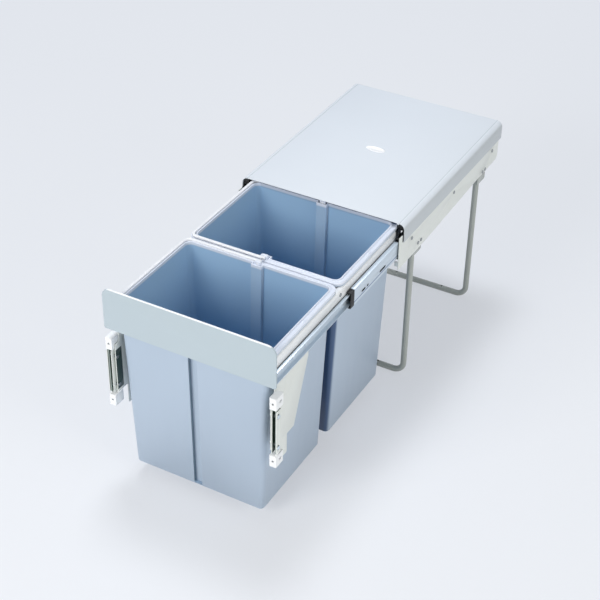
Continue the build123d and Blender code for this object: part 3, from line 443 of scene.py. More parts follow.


# Painted shade on the lid's sides.
painted_lid_side_shade = mask_group("painted_lid_side_shade", side_mask)
# Painted shade in the lid's crease.
painted_lid_crease_shade = mask_group("painted_lid_crease_shade", crease_mask)
# A painted highlight along the front strip's top edge.
painted_edge_highlight = mask_group("painted_edge_highlight", edge_mask)
shaded_rail = mask_group("shaded_rail", shaded_mask(SHADED_RAIL_Y))
shaded_slide = mask_group("shaded_slide", shaded_mask(SHADED_SLIDE_Y))
# Painted shade in each box.
painted_slot_shade, painted_plate_shade, painted_seam_shade, painted_slide_inside_shade, painted_bead_shade, painted_shade_under_lid = (
    mask_group(name, limits_mask(*limits)) for name, limits in BOXES.items()
)
on_metal = (
    painted_lid_side_shade, painted_lid_crease_shade, painted_edge_highlight, shaded_rail, shaded_slide,
    painted_slot_shade, painted_plate_shade, painted_seam_shade, painted_slide_inside_shade, painted_bead_shade, painted_shade_under_lid,
)
print("masks on metal:", [mask.name for mask in on_metal])

# %% [markdown]
# On the bins, the masks for painted highlight, painted bounce light and painted shade follow the moulding: how
# deep a place is, how near to a corner, and in which channel. They need the bins' own sizes, so these stand
# here, and the bins are built from the same numbers further on.

# %% Masks on the bins
BIN_BASE_Z, RIM_Z = 24.0, 375.0
BASE_HALF, TOP_HALF = (132.5, 103.75), (146.9, 110.0)
BASE_CORNER, TOP_CORNER = 9.0, 13.0
FRONT_BIN_Y, REAR_BIN_Y = -339.8, -100.8

# Limits and soft steps in millimetres. Where a step's pair falls, it marks what lies below it.
# The inside walls get a painted bounce light, and the rib's face takes this share of it.
MID_WALL, RIB_FACE, RIB_SHARE = (0.8, 1.2), (8.6, 9.2), 0.62
BESIDE_RIB_X, FLOOR_Z, INSIDE_Z = (11.0, 11.6), (28.0, 27.0), (25.6, 371.0)
# Where the painted shade lies in the channel, and in the gap between the bins.
GROOVE_DEPTH, GROOVE_X, GROOVE_Z = (0.9, 7.2), (9.4, 9.0), (29.0, 366.0)
GAP_Y, UNDER_RIM_Z = (21.0, 17.0), (368.8, 368.0)
# Where the painted shade on the rear bin's back rim starts in height, where the rims' painted highlight rises,
# and where that shade starts along Y.
RIM_START_Z, RIM_HIGHLIGHT_Z, SHADED_RIM_Y = (368.0, 370.0), (369.5, 374.0), 8.4
SOFT_INSIDE, SOFT_RIM = 0.8, 1.6


def bin_depth(group, far_x, y, z):
    """How deep a place lies under the outer skin, and how far it is from the middle between the bins."""
    def tapered(at_base, at_rim):
        return map_range(group, z, BIN_BASE_Z, RIM_Z, at_base * MM, at_rim * MM)

    def away(value, place):
        return calculate(group, "ABSOLUTE", calculate(group, "SUBTRACT", value, place * MM))

    def beyond(value, base_half, top_half):
        centre = tapered(base_half - BASE_CORNER, top_half - TOP_CORNER)
        over = calculate(group, "MAXIMUM", calculate(group, "SUBTRACT", value, centre), 0.0)
        return calculate(group, "POWER", over, 2.0)

    middle_y, half_apart = (FRONT_BIN_Y + REAR_BIN_Y) / 2, (REAR_BIN_Y - FRONT_BIN_Y) / 2
    between = away(y, middle_y)
    far_y = away(between, half_apart)
    across, along = zip(BASE_HALF, TOP_HALF)
    squares = calculate(group, "ADD", beyond(far_x, *across), beyond(far_y, *along))
    distance = calculate(group, "SQRT", squares)
    return calculate(group, "SUBTRACT", tapered(BASE_CORNER, TOP_CORNER), distance), between


def rim_mask(group, far_x, y, z):
    return map_range(group, z, *RIM_HIGHLIGHT_Z)


def inside_mask(group, far_x, y, z):
    depth, _ = bin_depth(group, far_x, y, z)
    off_rib = map_range(group, far_x, *BESIDE_RIB_X)
    on_floor = map_range(group, z, *FLOOR_Z)
    not_rib = calculate(group, "MAXIMUM", off_rib, on_floor)
    wall = product(group, map_range(group, depth, *MID_WALL), not_rib)
    rib = map_range(group, depth, *RIB_FACE, 0.0, RIB_SHARE)
    skin = calculate(group, "MAXIMUM", wall, rib)
    return product(group, skin, within(group, z, *INSIDE_Z, soft=SOFT_INSIDE))


def groove_mask(group, far_x, y, z):
    depth, _ = bin_depth(group, far_x, y, z)
    return product(
        group,
        within(group, depth, *GROOVE_DEPTH),
        map_range(group, far_x, *GROOVE_X),
        within(group, z, *GROOVE_Z),
    )


def gap_mask(group, far_x, y, z):
    depth, between = bin_depth(group, far_x, y, z)
    return product(
        group,
        map_range(group, depth, *reversed(MID_WALL)),
        map_range(group, between, *GAP_Y),
        map_range(group, z, *UNDER_RIM_Z),
    )


def shaded_rim_mask(group, far_x, y, z):
    return product(
        group,
        within(group, y, SHADED_RIM_Y, SHADED_TO_Y, soft=SOFT_RIM),
        map_range(group, z, *RIM_START_Z),
    )


# A painted highlight on every rim.
painted_rim_highlight = mask_group("painted_rim_highlight", rim_mask)
shaded_rim = mask_group("shaded_rim", shaded_rim_mask)
# Painted bounce light on the inside walls of the bins.
painted_bounce_inside = mask_group("painted_bounce_inside", inside_mask)
# Painted shade in the bins' channels.
painted_groove_shade = mask_group("painted_groove_shade", groove_mask)
# Painted shade in the gap between the bins.
painted_gap_shade = mask_group("painted_gap_shade", gap_mask)
on_bins = (painted_rim_highlight, shaded_rim, painted_bounce_inside, painted_groove_shade, painted_gap_shade)
print("masks on the bins:", [mask.name for mask in on_bins])

# %% [markdown]
# ## The finishes
#
# Every finish of the object is one material. A material holds its finish group, the masks for its places, one
# Bump node and one Principled shader, so the export can read it. Colours are written in linear light, and
# `tone` turns an ordinary screen colour into that.

# %% Materials
BUMP_DISTANCE = 0.0002


def tone(red, green, blue):
    """A linear colour from a screen colour in 0 to 255."""
    def linear(value):
        share = value / 255
        return share / 12.92 if share <= 0.04045 else ((share + 0.055) / 1.055) ** 2.4
    return (linear(red), linear(green), linear(blue), 1)


def material(name, group, color, metallic=0.0, coat=0.0, changes=(), **amounts):
    """A Principled material from a finish group, with place masks and the colours they change to."""
    made = bpy.data.materials.new(name)
    made.use_nodes = True
    add, link = shader_nodes(made.node_tree), made.node_tree.links.new
    finish = add("ShaderNodeGroup", node_tree=group)
    finish.inputs["Color"].default_value = color
    for socket, value in amounts.items():
        finish.inputs[socket].default_value = value
    shade = finish.outputs["Color"]
    for place, other in changes:
        change = add("ShaderNodeGroup", node_tree=place)
        change.inputs["Other Color"].default_value = other
        link(shade, change.inputs["Color"])
        shade = change.outputs["Color"]
    bump = add("ShaderNodeBump")
    bump.inputs["Distance"].default_value = BUMP_DISTANCE
    shader = add("ShaderNodeBsdfPrincipled")
    shader.inputs["Metallic"].default_value = metallic
    shader.inputs["Coat Weight"].default_value = coat
    link(shade, shader.inputs["Base Color"])
    link(finish.outputs["Roughness"], shader.inputs["Roughness"])
    link(finish.outputs["Height"], bump.inputs["Height"])
    link(bump.outputs["Normal"], shader.inputs["Normal"])
    link(shader.outputs["BSDF"], add("ShaderNodeOutputMaterial").inputs["Surface"])
    return made


FINISHES = {
    # The lid's sides and the crease beside each shoulder are painted darker, as painted shade.
    "lid_paint": material("lid_paint", powder_paint, tone(219, 225, 232), Roughness=0.62,
                          changes=[(painted_lid_side_shade, tone(200, 206, 211)), (painted_lid_crease_shade, tone(194, 202, 207))]),
    "badge": material("badge", moulded_plastic, tone(253, 253, 254), Roughness=0.4, Relief=0.01),
    # On the cream paint, the side plates' inner faces, the slot in a door channel and the bracket's front end
    # under the lid are painted dark, as painted shade.
    "cream_paint": material("cream_paint", powder_paint, tone(229, 233, 229), Roughness=0.32,
                            changes=[
                                (painted_plate_shade, tone(40, 62, 60)), (painted_slot_shade, tone(40, 64, 54)),
                                (painted_shade_under_lid, tone(26, 30, 34)),
                            ]),
    "leg_paint": material("leg_paint", powder_paint, tone(178, 183, 178), Roughness=0.22),
    # On the white paint, the rail in the lid's shade and the strip inside a door channel are painted dark, as
    # painted shade.
    "white_paint": material("white_paint", powder_paint, tone(248, 250, 252), Roughness=0.34,
                            changes=[(shaded_rail, tone(34, 38, 46)), (painted_slot_shade, tone(100, 124, 114))]),
    # The front strip's top edge is painted near white, as a painted highlight.
    "panel_paint": material("panel_paint", powder_paint, tone(184, 198, 206), Roughness=0.45,
                            changes=[(painted_edge_highlight, tone(250, 252, 254))]),
    # On the zinc, a seam at the rails, the inside of the slides near the front, a line along the middle
    # slide's bead and the slide in the lid's shade are painted dark, as painted shade.
    "zinc": material("zinc", rolled_zinc, tone(206, 218, 229), metallic=0.45,
                     changes=[
                         (painted_seam_shade, tone(60, 72, 78)), (painted_slide_inside_shade, tone(20, 24, 28)),
                         (painted_bead_shade, tone(96, 118, 156)), (shaded_slide, tone(22, 24, 28)),
                     ]),
    "rivet": material("rivet", rolled_zinc, tone(150, 155, 158), metallic=0.9, Roughness=0.3),
    "ball": material("ball", rolled_zinc, tone(214, 216, 218), metallic=1.0, Roughness=0.12, Tint=0.02),
    "black_plastic": material("black_plastic", moulded_plastic, tone(9, 10, 11), Roughness=0.55),
    # On the bins, a painted highlight on the rims, painted bounce light on the inside walls, and painted shade
    # in the channel, in the gap between the bins and on the rear bin's back rim under the lid.
    "bin_plastic": material("bin_plastic", moulded_plastic, tone(177, 193, 211), Roughness=0.36,
                            changes=[
                                (painted_rim_highlight, tone(226, 232, 244)), (painted_bounce_inside, tone(158, 191, 220)),
                                (painted_groove_shade, tone(118, 138, 154)), (painted_gap_shade, tone(62, 90, 130)),
                                (shaded_rim, tone(84, 100, 128)),
                            ]),
    "handle_plastic": material("handle_plastic", moulded_plastic, tone(240, 242, 246), Roughness=0.32),
}
for part in frame["record"]["subparts"]:
    mesh = nodes[part["node"]].data
    mesh.materials.clear()
    mesh.materials.append(FINISHES[part["material_slot"]])
print("finishes:", len(FINISHES))

# %% [markdown]
# ## Tools for working by hand
#
# The pieces below are modelled as one would at the screen: a primitive goes in at its size and place, and
# edit mode shapes it. An operator acts on all that is selected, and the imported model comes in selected, so
# every piece starts by deselecting everything.
#
# Sizes below are in millimetres, and `MM` turns them into Blender's metres.

# %% Starting a piece
def to_object_mode():
    if bpy.context.mode != "OBJECT":
        bpy.ops.object.mode_set(mode="OBJECT")


def choose(piece, *others):
    """In object mode, selects these pieces and no others, and makes the first one active."""
    to_object_mode()
    bpy.ops.object.select_all(action="DESELECT")
    for part in (*others, piece):
        part.select_set(True)
    bpy.context.view_layer.objects.active = piece


def begin(name, primitive, place, stretch=None, **values):
    """Adds a primitive at a place, stretched to a size, and opens it in edit mode."""
    to_object_mode()
    bpy.ops.object.select_all(action="DESELECT")
    primitive(location=metres(*place), **values)
    piece = bpy.context.object
    piece.name = name
    if stretch:
        piece.scale = stretch
    bpy.ops.object.transform_apply(location=True, rotation=True, scale=True)
    bpy.ops.object.mode_set(mode="EDIT")
    return piece


def block(name, low, high):
    """A box between two corners, in edit mode."""
    place = [(a + b) / 2 for a, b in zip(low, high)]
    size = [b - a for a, b in zip(low, high)]
    return begin(name, bpy.ops.mesh.primitive_cube_add, place, size, size=MM)


def cylinder(name, place, diameter, length, axis="Z", vertices=32):
    """A cylinder that stands, or lies along Y, in edit mode."""
    turned = (math.pi / 2, 0, 0) if axis == "Y" else (0, 0, 0)
    return begin(name, bpy.ops.mesh.primitive_cylinder_add, place, vertices=vertices,
                 radius=diameter / 2 * MM, depth=length * MM, rotation=turned)


print("tools that start a piece: begin, block, cylinder")

# %% [markdown]
# A script has no mouse, so in edit mode it picks corners, edges and faces by their place or by the way they
# face. What is picked is then rounded, drawn out, lifted, cut or deleted.

# %% Shaping a piece
# The millimetres that count as one place, and the share of a normal that counts as facing along an axis.
SLACK = 0.05
FACING, FLAT_ON = 0.9, 0.999


def near(value, target):
    return abs(value - target) < SLACK


def middle(part):
    """The middle of a vertex, an edge or a face, in millimetres."""
    points = [part.co] if isinstance(part, bmesh.types.BMVert) else [v.co for v in part.verts]
    return sum(points, Vector()) / len(points) / MM


def lies_at(part, z):
    """Whether an edge or a face lies flat at a height."""
    return all(near(v.co.z / MM, z) for v in part.verts)


def pick(kind, test):
    """Selects the vertices, edges or faces that pass a test, and no others."""
    bpy.ops.mesh.select_mode(type=kind)
    bpy.ops.mesh.select_all(action="DESELECT")
    data = bpy.context.object.data
    mesh = bmesh.from_edit_mesh(data)
    mesh.normal_update()
    for part in {"VERT": mesh.verts, "EDGE": mesh.edges, "FACE": mesh.faces}[kind]:
        if test(part):
            part.select_set(True)
    bmesh.update_edit_mesh(data)


def remove_faces(test):
    pick("FACE", test)
    bpy.ops.mesh.delete(type="FACE")


def round_off(size, steps, affect="EDGES"):
    """Bevels the selected edges, or the selected vertices."""
    bpy.ops.mesh.bevel(offset=size * MM, segments=steps, affect=affect)


def draw_out(x=0, y=0, z=0):
    """Extrudes the selected faces straight on."""
    bpy.ops.mesh.extrude_region_move(TRANSFORM_OT_translate={"value": metres(x, y, z)})


def lift(height):
    bpy.ops.transform.translate(value=metres(0, 0, height))


def cut_across(*places):
    """Divides every face at these places along X."""
    for x in places:
        bpy.ops.mesh.select_all(action="SELECT")
        bpy.ops.mesh.bisect(plane_co=metres(x, 0, 0), plane_no=(1, 0, 0))


print("tools that shape a piece: pick, remove_faces, round_off, draw_out, lift, cut_across")

# %% [markdown]
# A finished piece has its normals outwards and its sharp edges rounded a little. At the end it takes the body
# and the finish of the CAD nodes that it stands for, so it moves as they do.

# %% Finishing a piece
SLOT_OF = {part["node"]: part["material_slot"] for part in frame["record"]["subparts"]}
BODY_OF = {node: body for body, held in frame["record"]["behaviour"]["bodies"].items() for node in held}
MERGE_WITHIN = 0.001
SHARP = 35
DRILL_LONG = 20.0


def shade_smooth(degrees=40):
    """Smooth shading, apart from the edges that turn by more than this."""
    bpy.ops.object.shade_smooth_by_angle(angle=math.radians(degrees))


def soften_edges(piece, edge):
    """Rounds the sharp edges of the active piece."""
    bevel = piece.modifiers.new("soft_edges", "BEVEL")
    bevel.width = edge * MM
    bevel.segments = 2
    bevel.limit_method = "ANGLE"
    bevel.angle_limit = math.radians(SHARP)
    bpy.ops.object.modifier_apply(modifier=bevel.name)


def close_piece(piece, edge=0.0, smooth=40):
    """Leaves edit mode with the normals outwards, and rounds the sharp edges if an edge is given."""
    bpy.ops.mesh.select_all(action="SELECT")
    bpy.ops.mesh.remove_doubles(threshold=MERGE_WITHIN * MM)
    bpy.ops.mesh.normals_make_consistent(inside=False)
    to_object_mode()
    if edge:
        soften_edges(piece, edge)
    shade_smooth(smooth)


def join_to(piece, *others):
    """Makes one piece of several, under the first one's name."""
    choose(piece, *others)
    bpy.ops.object.join()


def drill(piece, place, diameter, axis="Z"):
    """Cuts a round hole with a cylinder, which is thrown away afterwards."""
    bit = cylinder("drill", place, diameter, DRILL_LONG, axis)
    choose(piece)
    cut = piece.modifiers.new("hole", "BOOLEAN")
    cut.operation = "DIFFERENCE"
    cut.object = bit
    bpy.ops.object.modifier_apply(modifier=cut.name)
    bpy.data.objects.remove(bit)


def move_mesh(piece, x=0, y=0):
    """Moves a piece inside its mesh. Its origin stays the whole object's, where the masks count from."""
    choose(piece)
    piece.location = metres(x, y, 0)
    bpy.ops.object.transform_apply(location=True, rotation=True, scale=True)


def twin(piece, name, x=0, y=0):
    """A copy with a mesh of its own, moved inside that mesh."""
    choose(piece)
    bpy.ops.object.duplicate(linked=False)
    copy = bpy.context.object
    copy.name = name
    move_mesh(copy, x, y)
    return copy


def stand_for(piece, *held):
    """Gives a piece the body and the finish of the CAD nodes that it replaces."""
    piece.data.materials.clear()
    piece.data.materials.append(FINISHES[SLOT_OF[held[0]]])
    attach(piece, BODY_OF[held[0]])
    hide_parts(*held)
    print(piece.name, "stands for", ", ".join(held), "with", len(piece.data.polygons), "faces")


print("pieces:", len(SLOT_OF), "on bodies:", sorted(set(BODY_OF.values())))

# %% [markdown]
# ## The lid
#
# The lid is one sheet of steel, folded down along both long sides, with a soft shoulder where it turns. A
# press has left a fine crease beside each shoulder, and a short fold closes the back. A box is the quickest
# start: its two long top edges are bevelled for the shoulders, the faces that the sheet doesn't have are
# deleted, and Solidify gives the skin its thickness. That way the sheet is equally thick everywhere, as real
# sheet is.

# %% The lid
LID_HALF, LID_DEPTH, LID_TOP, LID_LOW = 172.5, 461.0, 385.0, 347.5
LID_SHEET, LID_EDGE, SHOULDER, REAR_FOLD_LOW = 1.2, 0.35, 12.5, 362.5
CREASE_HALF, CREASE_DEPTH = 1.0, 0.55

lid = block("folded_lid", (-LID_HALF, 0, LID_LOW), (LID_HALF, LID_DEPTH, LID_TOP))
pick("EDGE", lambda e: near(middle(e).z, LID_TOP) and near(abs(middle(e).x), LID_HALF))
round_off(SHOULDER, 10)
remove_faces(lambda f: f.normal.z < -FACING or f.normal.y < -FACING)
pick("FACE", lambda f: f.normal.y > FACING)
bpy.ops.mesh.bisect(plane_co=metres(0, 0, REAR_FOLD_LOW), plane_no=(0, 0, 1))
remove_faces(lambda f: f.normal.y > FACING and middle(f).z < REAR_FOLD_LOW)
crease = LID_HALF - SHOULDER
cut_across(crease - CREASE_HALF, crease + CREASE_HALF, -crease - CREASE_HALF, -crease + CREASE_HALF)
pick("VERT", lambda v: near(abs(middle(v).x), crease) and near(middle(v).z, LID_TOP))
lift(-CREASE_DEPTH)
close_piece(lid)
sheet = lid.modifiers.new("sheet", "SOLIDIFY")
sheet.thickness = LID_SHEET * MM
sheet.offset = -1
bpy.ops.object.modifier_apply(modifier=sheet.name)
soften_edges(lid, LID_EDGE)
shade_smooth(30)
stand_for(lid, "lid_cover")

# %% [markdown]
# ## The badge on the lid
#
# A small oval plate is stuck to the middle of the lid. It stays blank here. A disc is stretched to the oval,
# its rim is rounded, and the face inside the rim is inset and pressed down a little, as on a moulded plate.

# %% The badge on the lid
BADGE_LENGTH, BADGE_WIDTH, BADGE_HIGH, BADGE_Y = 40.6, 18.2, 1.0, 224.0
BADGE_ROUND, BADGE_BORDER, BADGE_STEP, BADGE_PRESSED = 0.35, 1.1, 0.4, 0.3

badge = begin("oval_badge", bpy.ops.mesh.primitive_cylinder_add, (0, BADGE_Y, LID_TOP + BADGE_HIGH / 2),
              (BADGE_LENGTH, BADGE_WIDTH, BADGE_HIGH), vertices=72, radius=MM / 2, depth=MM)
pick("FACE", lambda f: f.normal.z > FACING)
round_off(BADGE_ROUND, 3)
pick("FACE", lambda f: f.normal.z > FLAT_ON)
bpy.ops.mesh.inset(thickness=BADGE_BORDER * MM)
bpy.ops.mesh.inset(thickness=BADGE_STEP * MM, depth=-BADGE_PRESSED * MM)
close_piece(badge)
stand_for(badge, "lid_badge")

# %% [markdown]
# ## The two bins
#
# A bin is one injection moulding: a tapered box with a channel pressed into the middle of its front and back
# wall, a broad flat rim with a raised edge outside and a lip inside, and a pair of ears for the handle's
# pins. Its corners are round and its wall is equally thick, so a plain tapered cube would look wrong at once.
#
# It is built from rings. A ring is a flat plane, sized to the wall at one height, with its corners rounded
# and its face removed. Each ring is bridged to the one before. The outside and the inside are two such
# stacks, joined by a last bridge along the top of the lip. The channel is cut out with two bisects and pushed
# in with one extrude.
#
# Two rings at one height can be bridged the wrong way round, which turns the skin inside out. So each new
# ring is bridged while it hangs a little above the last one, and is then lowered to its place.

# %% Rings and channels
BIN_WALL, BIN_FLOOR, FOOT_HIGH, FOOT_SLOPE = 2.0, 2.5, 3.5, 0.7
CHANNEL_HALF, CHANNEL_DEEP = 8.5, 8.0
CORNER_STEPS = 8
HANG = 10.0
# The middles of the long faces of the front and back wall lie in these ranges.
WALL_LOW, WALL_HIGH, WALL_NEAR_Y, WALL_FAR_Y = 100.0, 300.0, 95.0, 112.0


def wall_ring(z, inset=0.0):
    """Half the width, half the depth and the corner of the bin's wall at a height, and the height."""
    share = (z - BIN_BASE_Z) / (RIM_Z - BIN_BASE_Z)
    half_x, half_y = (low + (high - low) * share - inset for low, high in zip(BASE_HALF, TOP_HALF))
    return half_x, half_y, BASE_CORNER + (TOP_CORNER - BASE_CORNER) * share - inset, z


def stack(name, rings):
    """A skin through rounded rectangles, each bridged to the one before, in edit mode."""
    piece = begin(name, bpy.ops.mesh.primitive_plane_add, (0, 0, 0), size=MM)
    bpy.ops.mesh.delete(type="VERT")
    starts, last = [], 0
    for half_x, half_y, corner, z in rings:
        starts.append(len(bmesh.from_edit_mesh(piece.data).verts))
        high = last + HANG
        bpy.ops.mesh.select_all(action="DESELECT")
        bpy.ops.mesh.primitive_plane_add(size=2 * MM, location=metres(0, 0, high))
        bpy.ops.transform.resize(value=(half_x, half_y, 1), center_override=metres(0, 0, high))
        round_off(corner, CORNER_STEPS, "VERTICES")
        bpy.ops.mesh.delete(type="ONLY_FACE")
        if len(starts) > 1:
            mesh = bmesh.from_edit_mesh(piece.data)
            mesh.verts.index_update()
            pick("EDGE", lambda e: all(v.index >= starts[-2] for v in e.verts))
            bpy.ops.mesh.bridge_edge_loops()
        pick("VERT", lambda v: v.index >= starts[-1])
        lift(z - high)
        last = z
    return piece


def push_channel(half_wide, low, high):
    """Pushes in the middle strip of the front and back wall, where its faces lie between two heights."""
    for side in (-1, 1):
        def in_strip(f):
            at = middle(f)
            return abs(at.x) < half_wide and low < at.z < high and WALL_NEAR_Y < side * at.y < WALL_FAR_Y
        pick("FACE", in_strip)
        draw_out(y=-side * CHANNEL_DEEP)


def cap(z):
    """Closes the open edge at a height with one face."""
    pick("EDGE", lambda e: e.is_boundary and lies_at(e, z))
    bpy.ops.mesh.edge_face_add()


print("a bin's wall at its base and its rim:", wall_ring(BIN_BASE_Z), wall_ring(RIM_Z))

# %% [markdown]
# The outside stack climbs from the foot to the wall's top, goes out and round the rim, and comes back to the
# lip. The inside stack goes down from the lip to the floor. Both are then one skin, closed by the bridge
# between them.

# %% The bin's outside and inside
RIM_HALF, RIM_CORNER = (155.5, 117.8), 18.0
SKIRT_LOW, EDGE_TOP, EDGE_WIDE = 369.0, 376.2, 1.6
LIP_TOP, LIP_LOW, LIP_OUT = 377.6, 375.5, -0.2


def rim_ring(inset, z):
    return RIM_HALF[0] - inset, RIM_HALF[1] - inset, RIM_CORNER - inset, z


def raised(ring, z):
    """The same ring at another height."""
    return (*ring[:3], z)


front_bin = stack("front_bin_moulding", [
    wall_ring(BIN_BASE_Z, FOOT_HIGH * FOOT_SLOPE),
    wall_ring(BIN_BASE_Z + FOOT_HIGH),
    wall_ring(RIM_Z - BIN_WALL),
    rim_ring(EDGE_WIDE, RIM_Z - BIN_WALL),
    rim_ring(EDGE_WIDE, SKIRT_LOW),
    rim_ring(0, SKIRT_LOW),
    rim_ring(0, EDGE_TOP),
    rim_ring(EDGE_WIDE, EDGE_TOP),
    rim_ring(EDGE_WIDE, RIM_Z),
    wall_ring(RIM_Z, LIP_OUT),
    raised(wall_ring(RIM_Z, LIP_OUT), LIP_TOP),
])
cap(BIN_BASE_Z)
cut_across(-CHANNEL_HALF, CHANNEL_HALF)
push_channel(CHANNEL_HALF, WALL_LOW, WALL_HIGH)
push_channel(CHANNEL_HALF, LIP_LOW, LIP_TOP)
remove_faces(lambda f: lies_at(f, LIP_TOP))

inner_half = CHANNEL_HALF + BIN_WALL
floor_z = BIN_BASE_Z + BIN_FLOOR
inside = stack("bin_inside", [
    raised(wall_ring(RIM_Z, BIN_WALL), LIP_TOP),
    wall_ring(RIM_Z, BIN_WALL),
    wall_ring(floor_z, BIN_WALL),
])
cut_across(-inner_half, inner_half)
push_channel(inner_half, WALL_LOW, LIP_TOP)
for z in (LIP_TOP, floor_z):
    remove_faces(lambda f: lies_at(f, z))
cap(floor_z)
pick("VERT", lambda v: near(middle(v).z, LIP_TOP))
lift(HANG)

join_to(front_bin, inside)
bpy.ops.object.mode_set(mode="EDIT")
pick("EDGE", lambda e: e.is_boundary)
bpy.ops.mesh.bridge_edge_loops()
pick("VERT", lambda v: near(middle(v).z, LIP_TOP + HANG))
lift(-HANG)
close_piece(front_bin)
print("bin's skin:", len(front_bin.data.polygons), "faces")

# %% [markdown]
# ## Ears and rest pads
#
# Two ears stand in the rim's channel gaps, each with a bore for the handle's pin, and a low pad on each short
# side keeps the lying handle off the rim. They are small blocks with rounded tops, set a little way into the
# rim. Each is made once, copied to its other place, and joined to the bin, because the mould makes them in
# one shot.

# %% Ears and rest pads
EAR_HALF, EAR_IN, EAR_OUT, EAR_TOP = 6.0, 104.6, 110.2, 382.08
EAR_ROUND, EAR_EDGE = 2.2, 0.4
PIN_Z, BORE = 378.4, 4.16
PAD_X, PAD_TOP, PAD_HALF_X, PAD_HALF_Y, PAD_ROUND = 150.4, 375.9, 2.0, 5.0, 0.45
SET_IN, BIN_EDGE = 1.0, 0.6

ear = block("ear", (-EAR_HALF, EAR_IN, RIM_Z - SET_IN), (EAR_HALF, EAR_OUT, EAR_TOP))
pick("EDGE", lambda e: near(middle(e).z, EAR_TOP) and near(abs(middle(e).x), EAR_HALF))
round_off(EAR_ROUND, 5)
close_piece(ear, EAR_EDGE)
drill(ear, (0, (EAR_IN + EAR_OUT) / 2, PIN_Z), BORE, "Y")
other_ear = twin(ear, "other_ear", y=-EAR_IN - EAR_OUT)

pad = block("rest_pad", (PAD_X - PAD_HALF_X, -PAD_HALF_Y, RIM_Z - SET_IN),
            (PAD_X + PAD_HALF_X, PAD_HALF_Y, PAD_TOP))
pick("EDGE", lambda e: near(middle(e).z, PAD_TOP))
round_off(PAD_ROUND, 3)
close_piece(pad)
other_pad = twin(pad, "other_pad", x=-2 * PAD_X)

choose(front_bin)
soften_edges(front_bin, BIN_EDGE)
join_to(front_bin, ear, other_ear, pad, other_pad)
shade_smooth()
rear_bin = twin(front_bin, "rear_bin_moulding", y=REAR_BIN_Y)
move_mesh(front_bin, y=FRONT_BIN_Y)
stand_for(front_bin, "front_bin")
stand_for(rear_bin, "rear_bin")

# %% [markdown]
# ## The handles
#
# Each bin has a bail, a flat bar bent into a U that lies on the left half of the rim and swings up round two
# pins. A bar of one section is easiest to draw out: its section is one small plane with rounded corners,
# which is extruded along the straights and spun round the corners. The eyes and the pins are turned parts, so
# they start as cylinders.

# %% A bar with bends
BEND_SLACK = 0.5


def bend(piece, centre, axis, towards, steps=8):
    """Spins the selected end by a quarter turn, the way that brings it nearer to a point."""
    def end_place():
        mesh = bmesh.from_edit_mesh(piece.data)
        return [middle(f) for f in mesh.faces if f.select][0]

    def turned(sign):
        return Matrix.Rotation(sign * math.pi / 2, 3, axis) @ (start - pivot) + pivot

    start, pivot = end_place(), Vector(centre)
    sign = min((-1, 1), key=lambda way: (turned(way) - Vector(towards)).length)
    # Spin counts its angle clockwise, and a rotation matrix counts the other way.
    bpy.ops.mesh.spin(steps=steps, angle=-sign * math.pi / 2, center=metres(*centre), axis=axis)
    assert (end_place() - turned(sign)).length < BEND_SLACK, (end_place(), turned(sign))


print("tools for a bar: draw_out for the straights, bend for the corners")

# %% [markdown]
# One bail is drawn round the origin with its eyes and pins, and a copy of it goes to each bin.

# %% The handles
BAIL_X, BAIL_Y, BAIL_BEND = 150.4, 113.2, 12.0
BAIL_WIDE, BAIL_HIGH, BAIL_CORNER = 5.4, 4.4, 1.3
EYE, PIN, PIN_TIP, PIN_SHORT, TURNED_EDGE = 6.0, 4.0, 104.1, 0.3, 0.5

bend_x, bend_y = -BAIL_X + BAIL_BEND, BAIL_Y - BAIL_BEND
bail = begin("front_bail", bpy.ops.mesh.primitive_plane_add, (0, -BAIL_Y, PIN_Z), (BAIL_HIGH, BAIL_WIDE, 1),
             size=MM, rotation=(0, math.pi / 2, 0))
round_off(BAIL_CORNER, 4, "VERTICES")
draw_out(x=bend_x)
bend(bail, (bend_x, -bend_y, PIN_Z), (0, 0, 1), (-BAIL_X, -bend_y, PIN_Z))
draw_out(y=2 * bend_y)
bend(bail, (bend_x, bend_y, PIN_Z), (0, 0, 1), (bend_x, BAIL_Y, PIN_Z))
draw_out(x=-bend_x)
close_piece(bail, smooth=30)

turned_parts = []
pin_end = BAIL_Y + BAIL_WIDE / 2 - PIN_SHORT
for side in (-1, 1):
    eye = cylinder("eye", (0, side * BAIL_Y, PIN_Z), EYE, BAIL_WIDE, "Y", 40)
    close_piece(eye, TURNED_EDGE)
    pin = cylinder("pin", (0, side * (PIN_TIP + pin_end) / 2, PIN_Z), PIN, pin_end - PIN_TIP, "Y")
    close_piece(pin, TURNED_EDGE)
    turned_parts += [eye, pin]
join_to(bail, *turned_parts)
rear_bail = twin(bail, "rear_bail", y=REAR_BIN_Y)
front_bail = twin(bail, "front_bail_in_place", y=FRONT_BIN_Y)
bpy.data.objects.remove(bail)
stand_for(front_bail, "front_bin_handle")
stand_for(rear_bail, "rear_bin_handle")

# %% [markdown]
# ## The strip in front of the bins
#
# A sheet closes the gap between the bins' rims and the door. Its top corners are large arcs, and its edge is
# folded flat behind it along the top and the ends, so no sharp edge shows. The outline is a standing plane
# with two corner sizes. The back gets its fold from an inset that is left out along the bottom and drawn out
# by one sheet.

# %% The strip in front of the bins
STRIP_HALF, STRIP_LOW, STRIP_TOP = 168.3, 322.0, 405.0
STRIP_FRONT, STRIP_SHEET, FOLD_WIDE, STRIP_EDGE = -461.0, 1.5, 7.0, 0.55
STRIP_TOP_CORNER, STRIP_LOW_CORNER = 16.0, 3.0

strip_place = (0, STRIP_FRONT, (STRIP_LOW + STRIP_TOP) / 2)
back_y = STRIP_FRONT + STRIP_SHEET


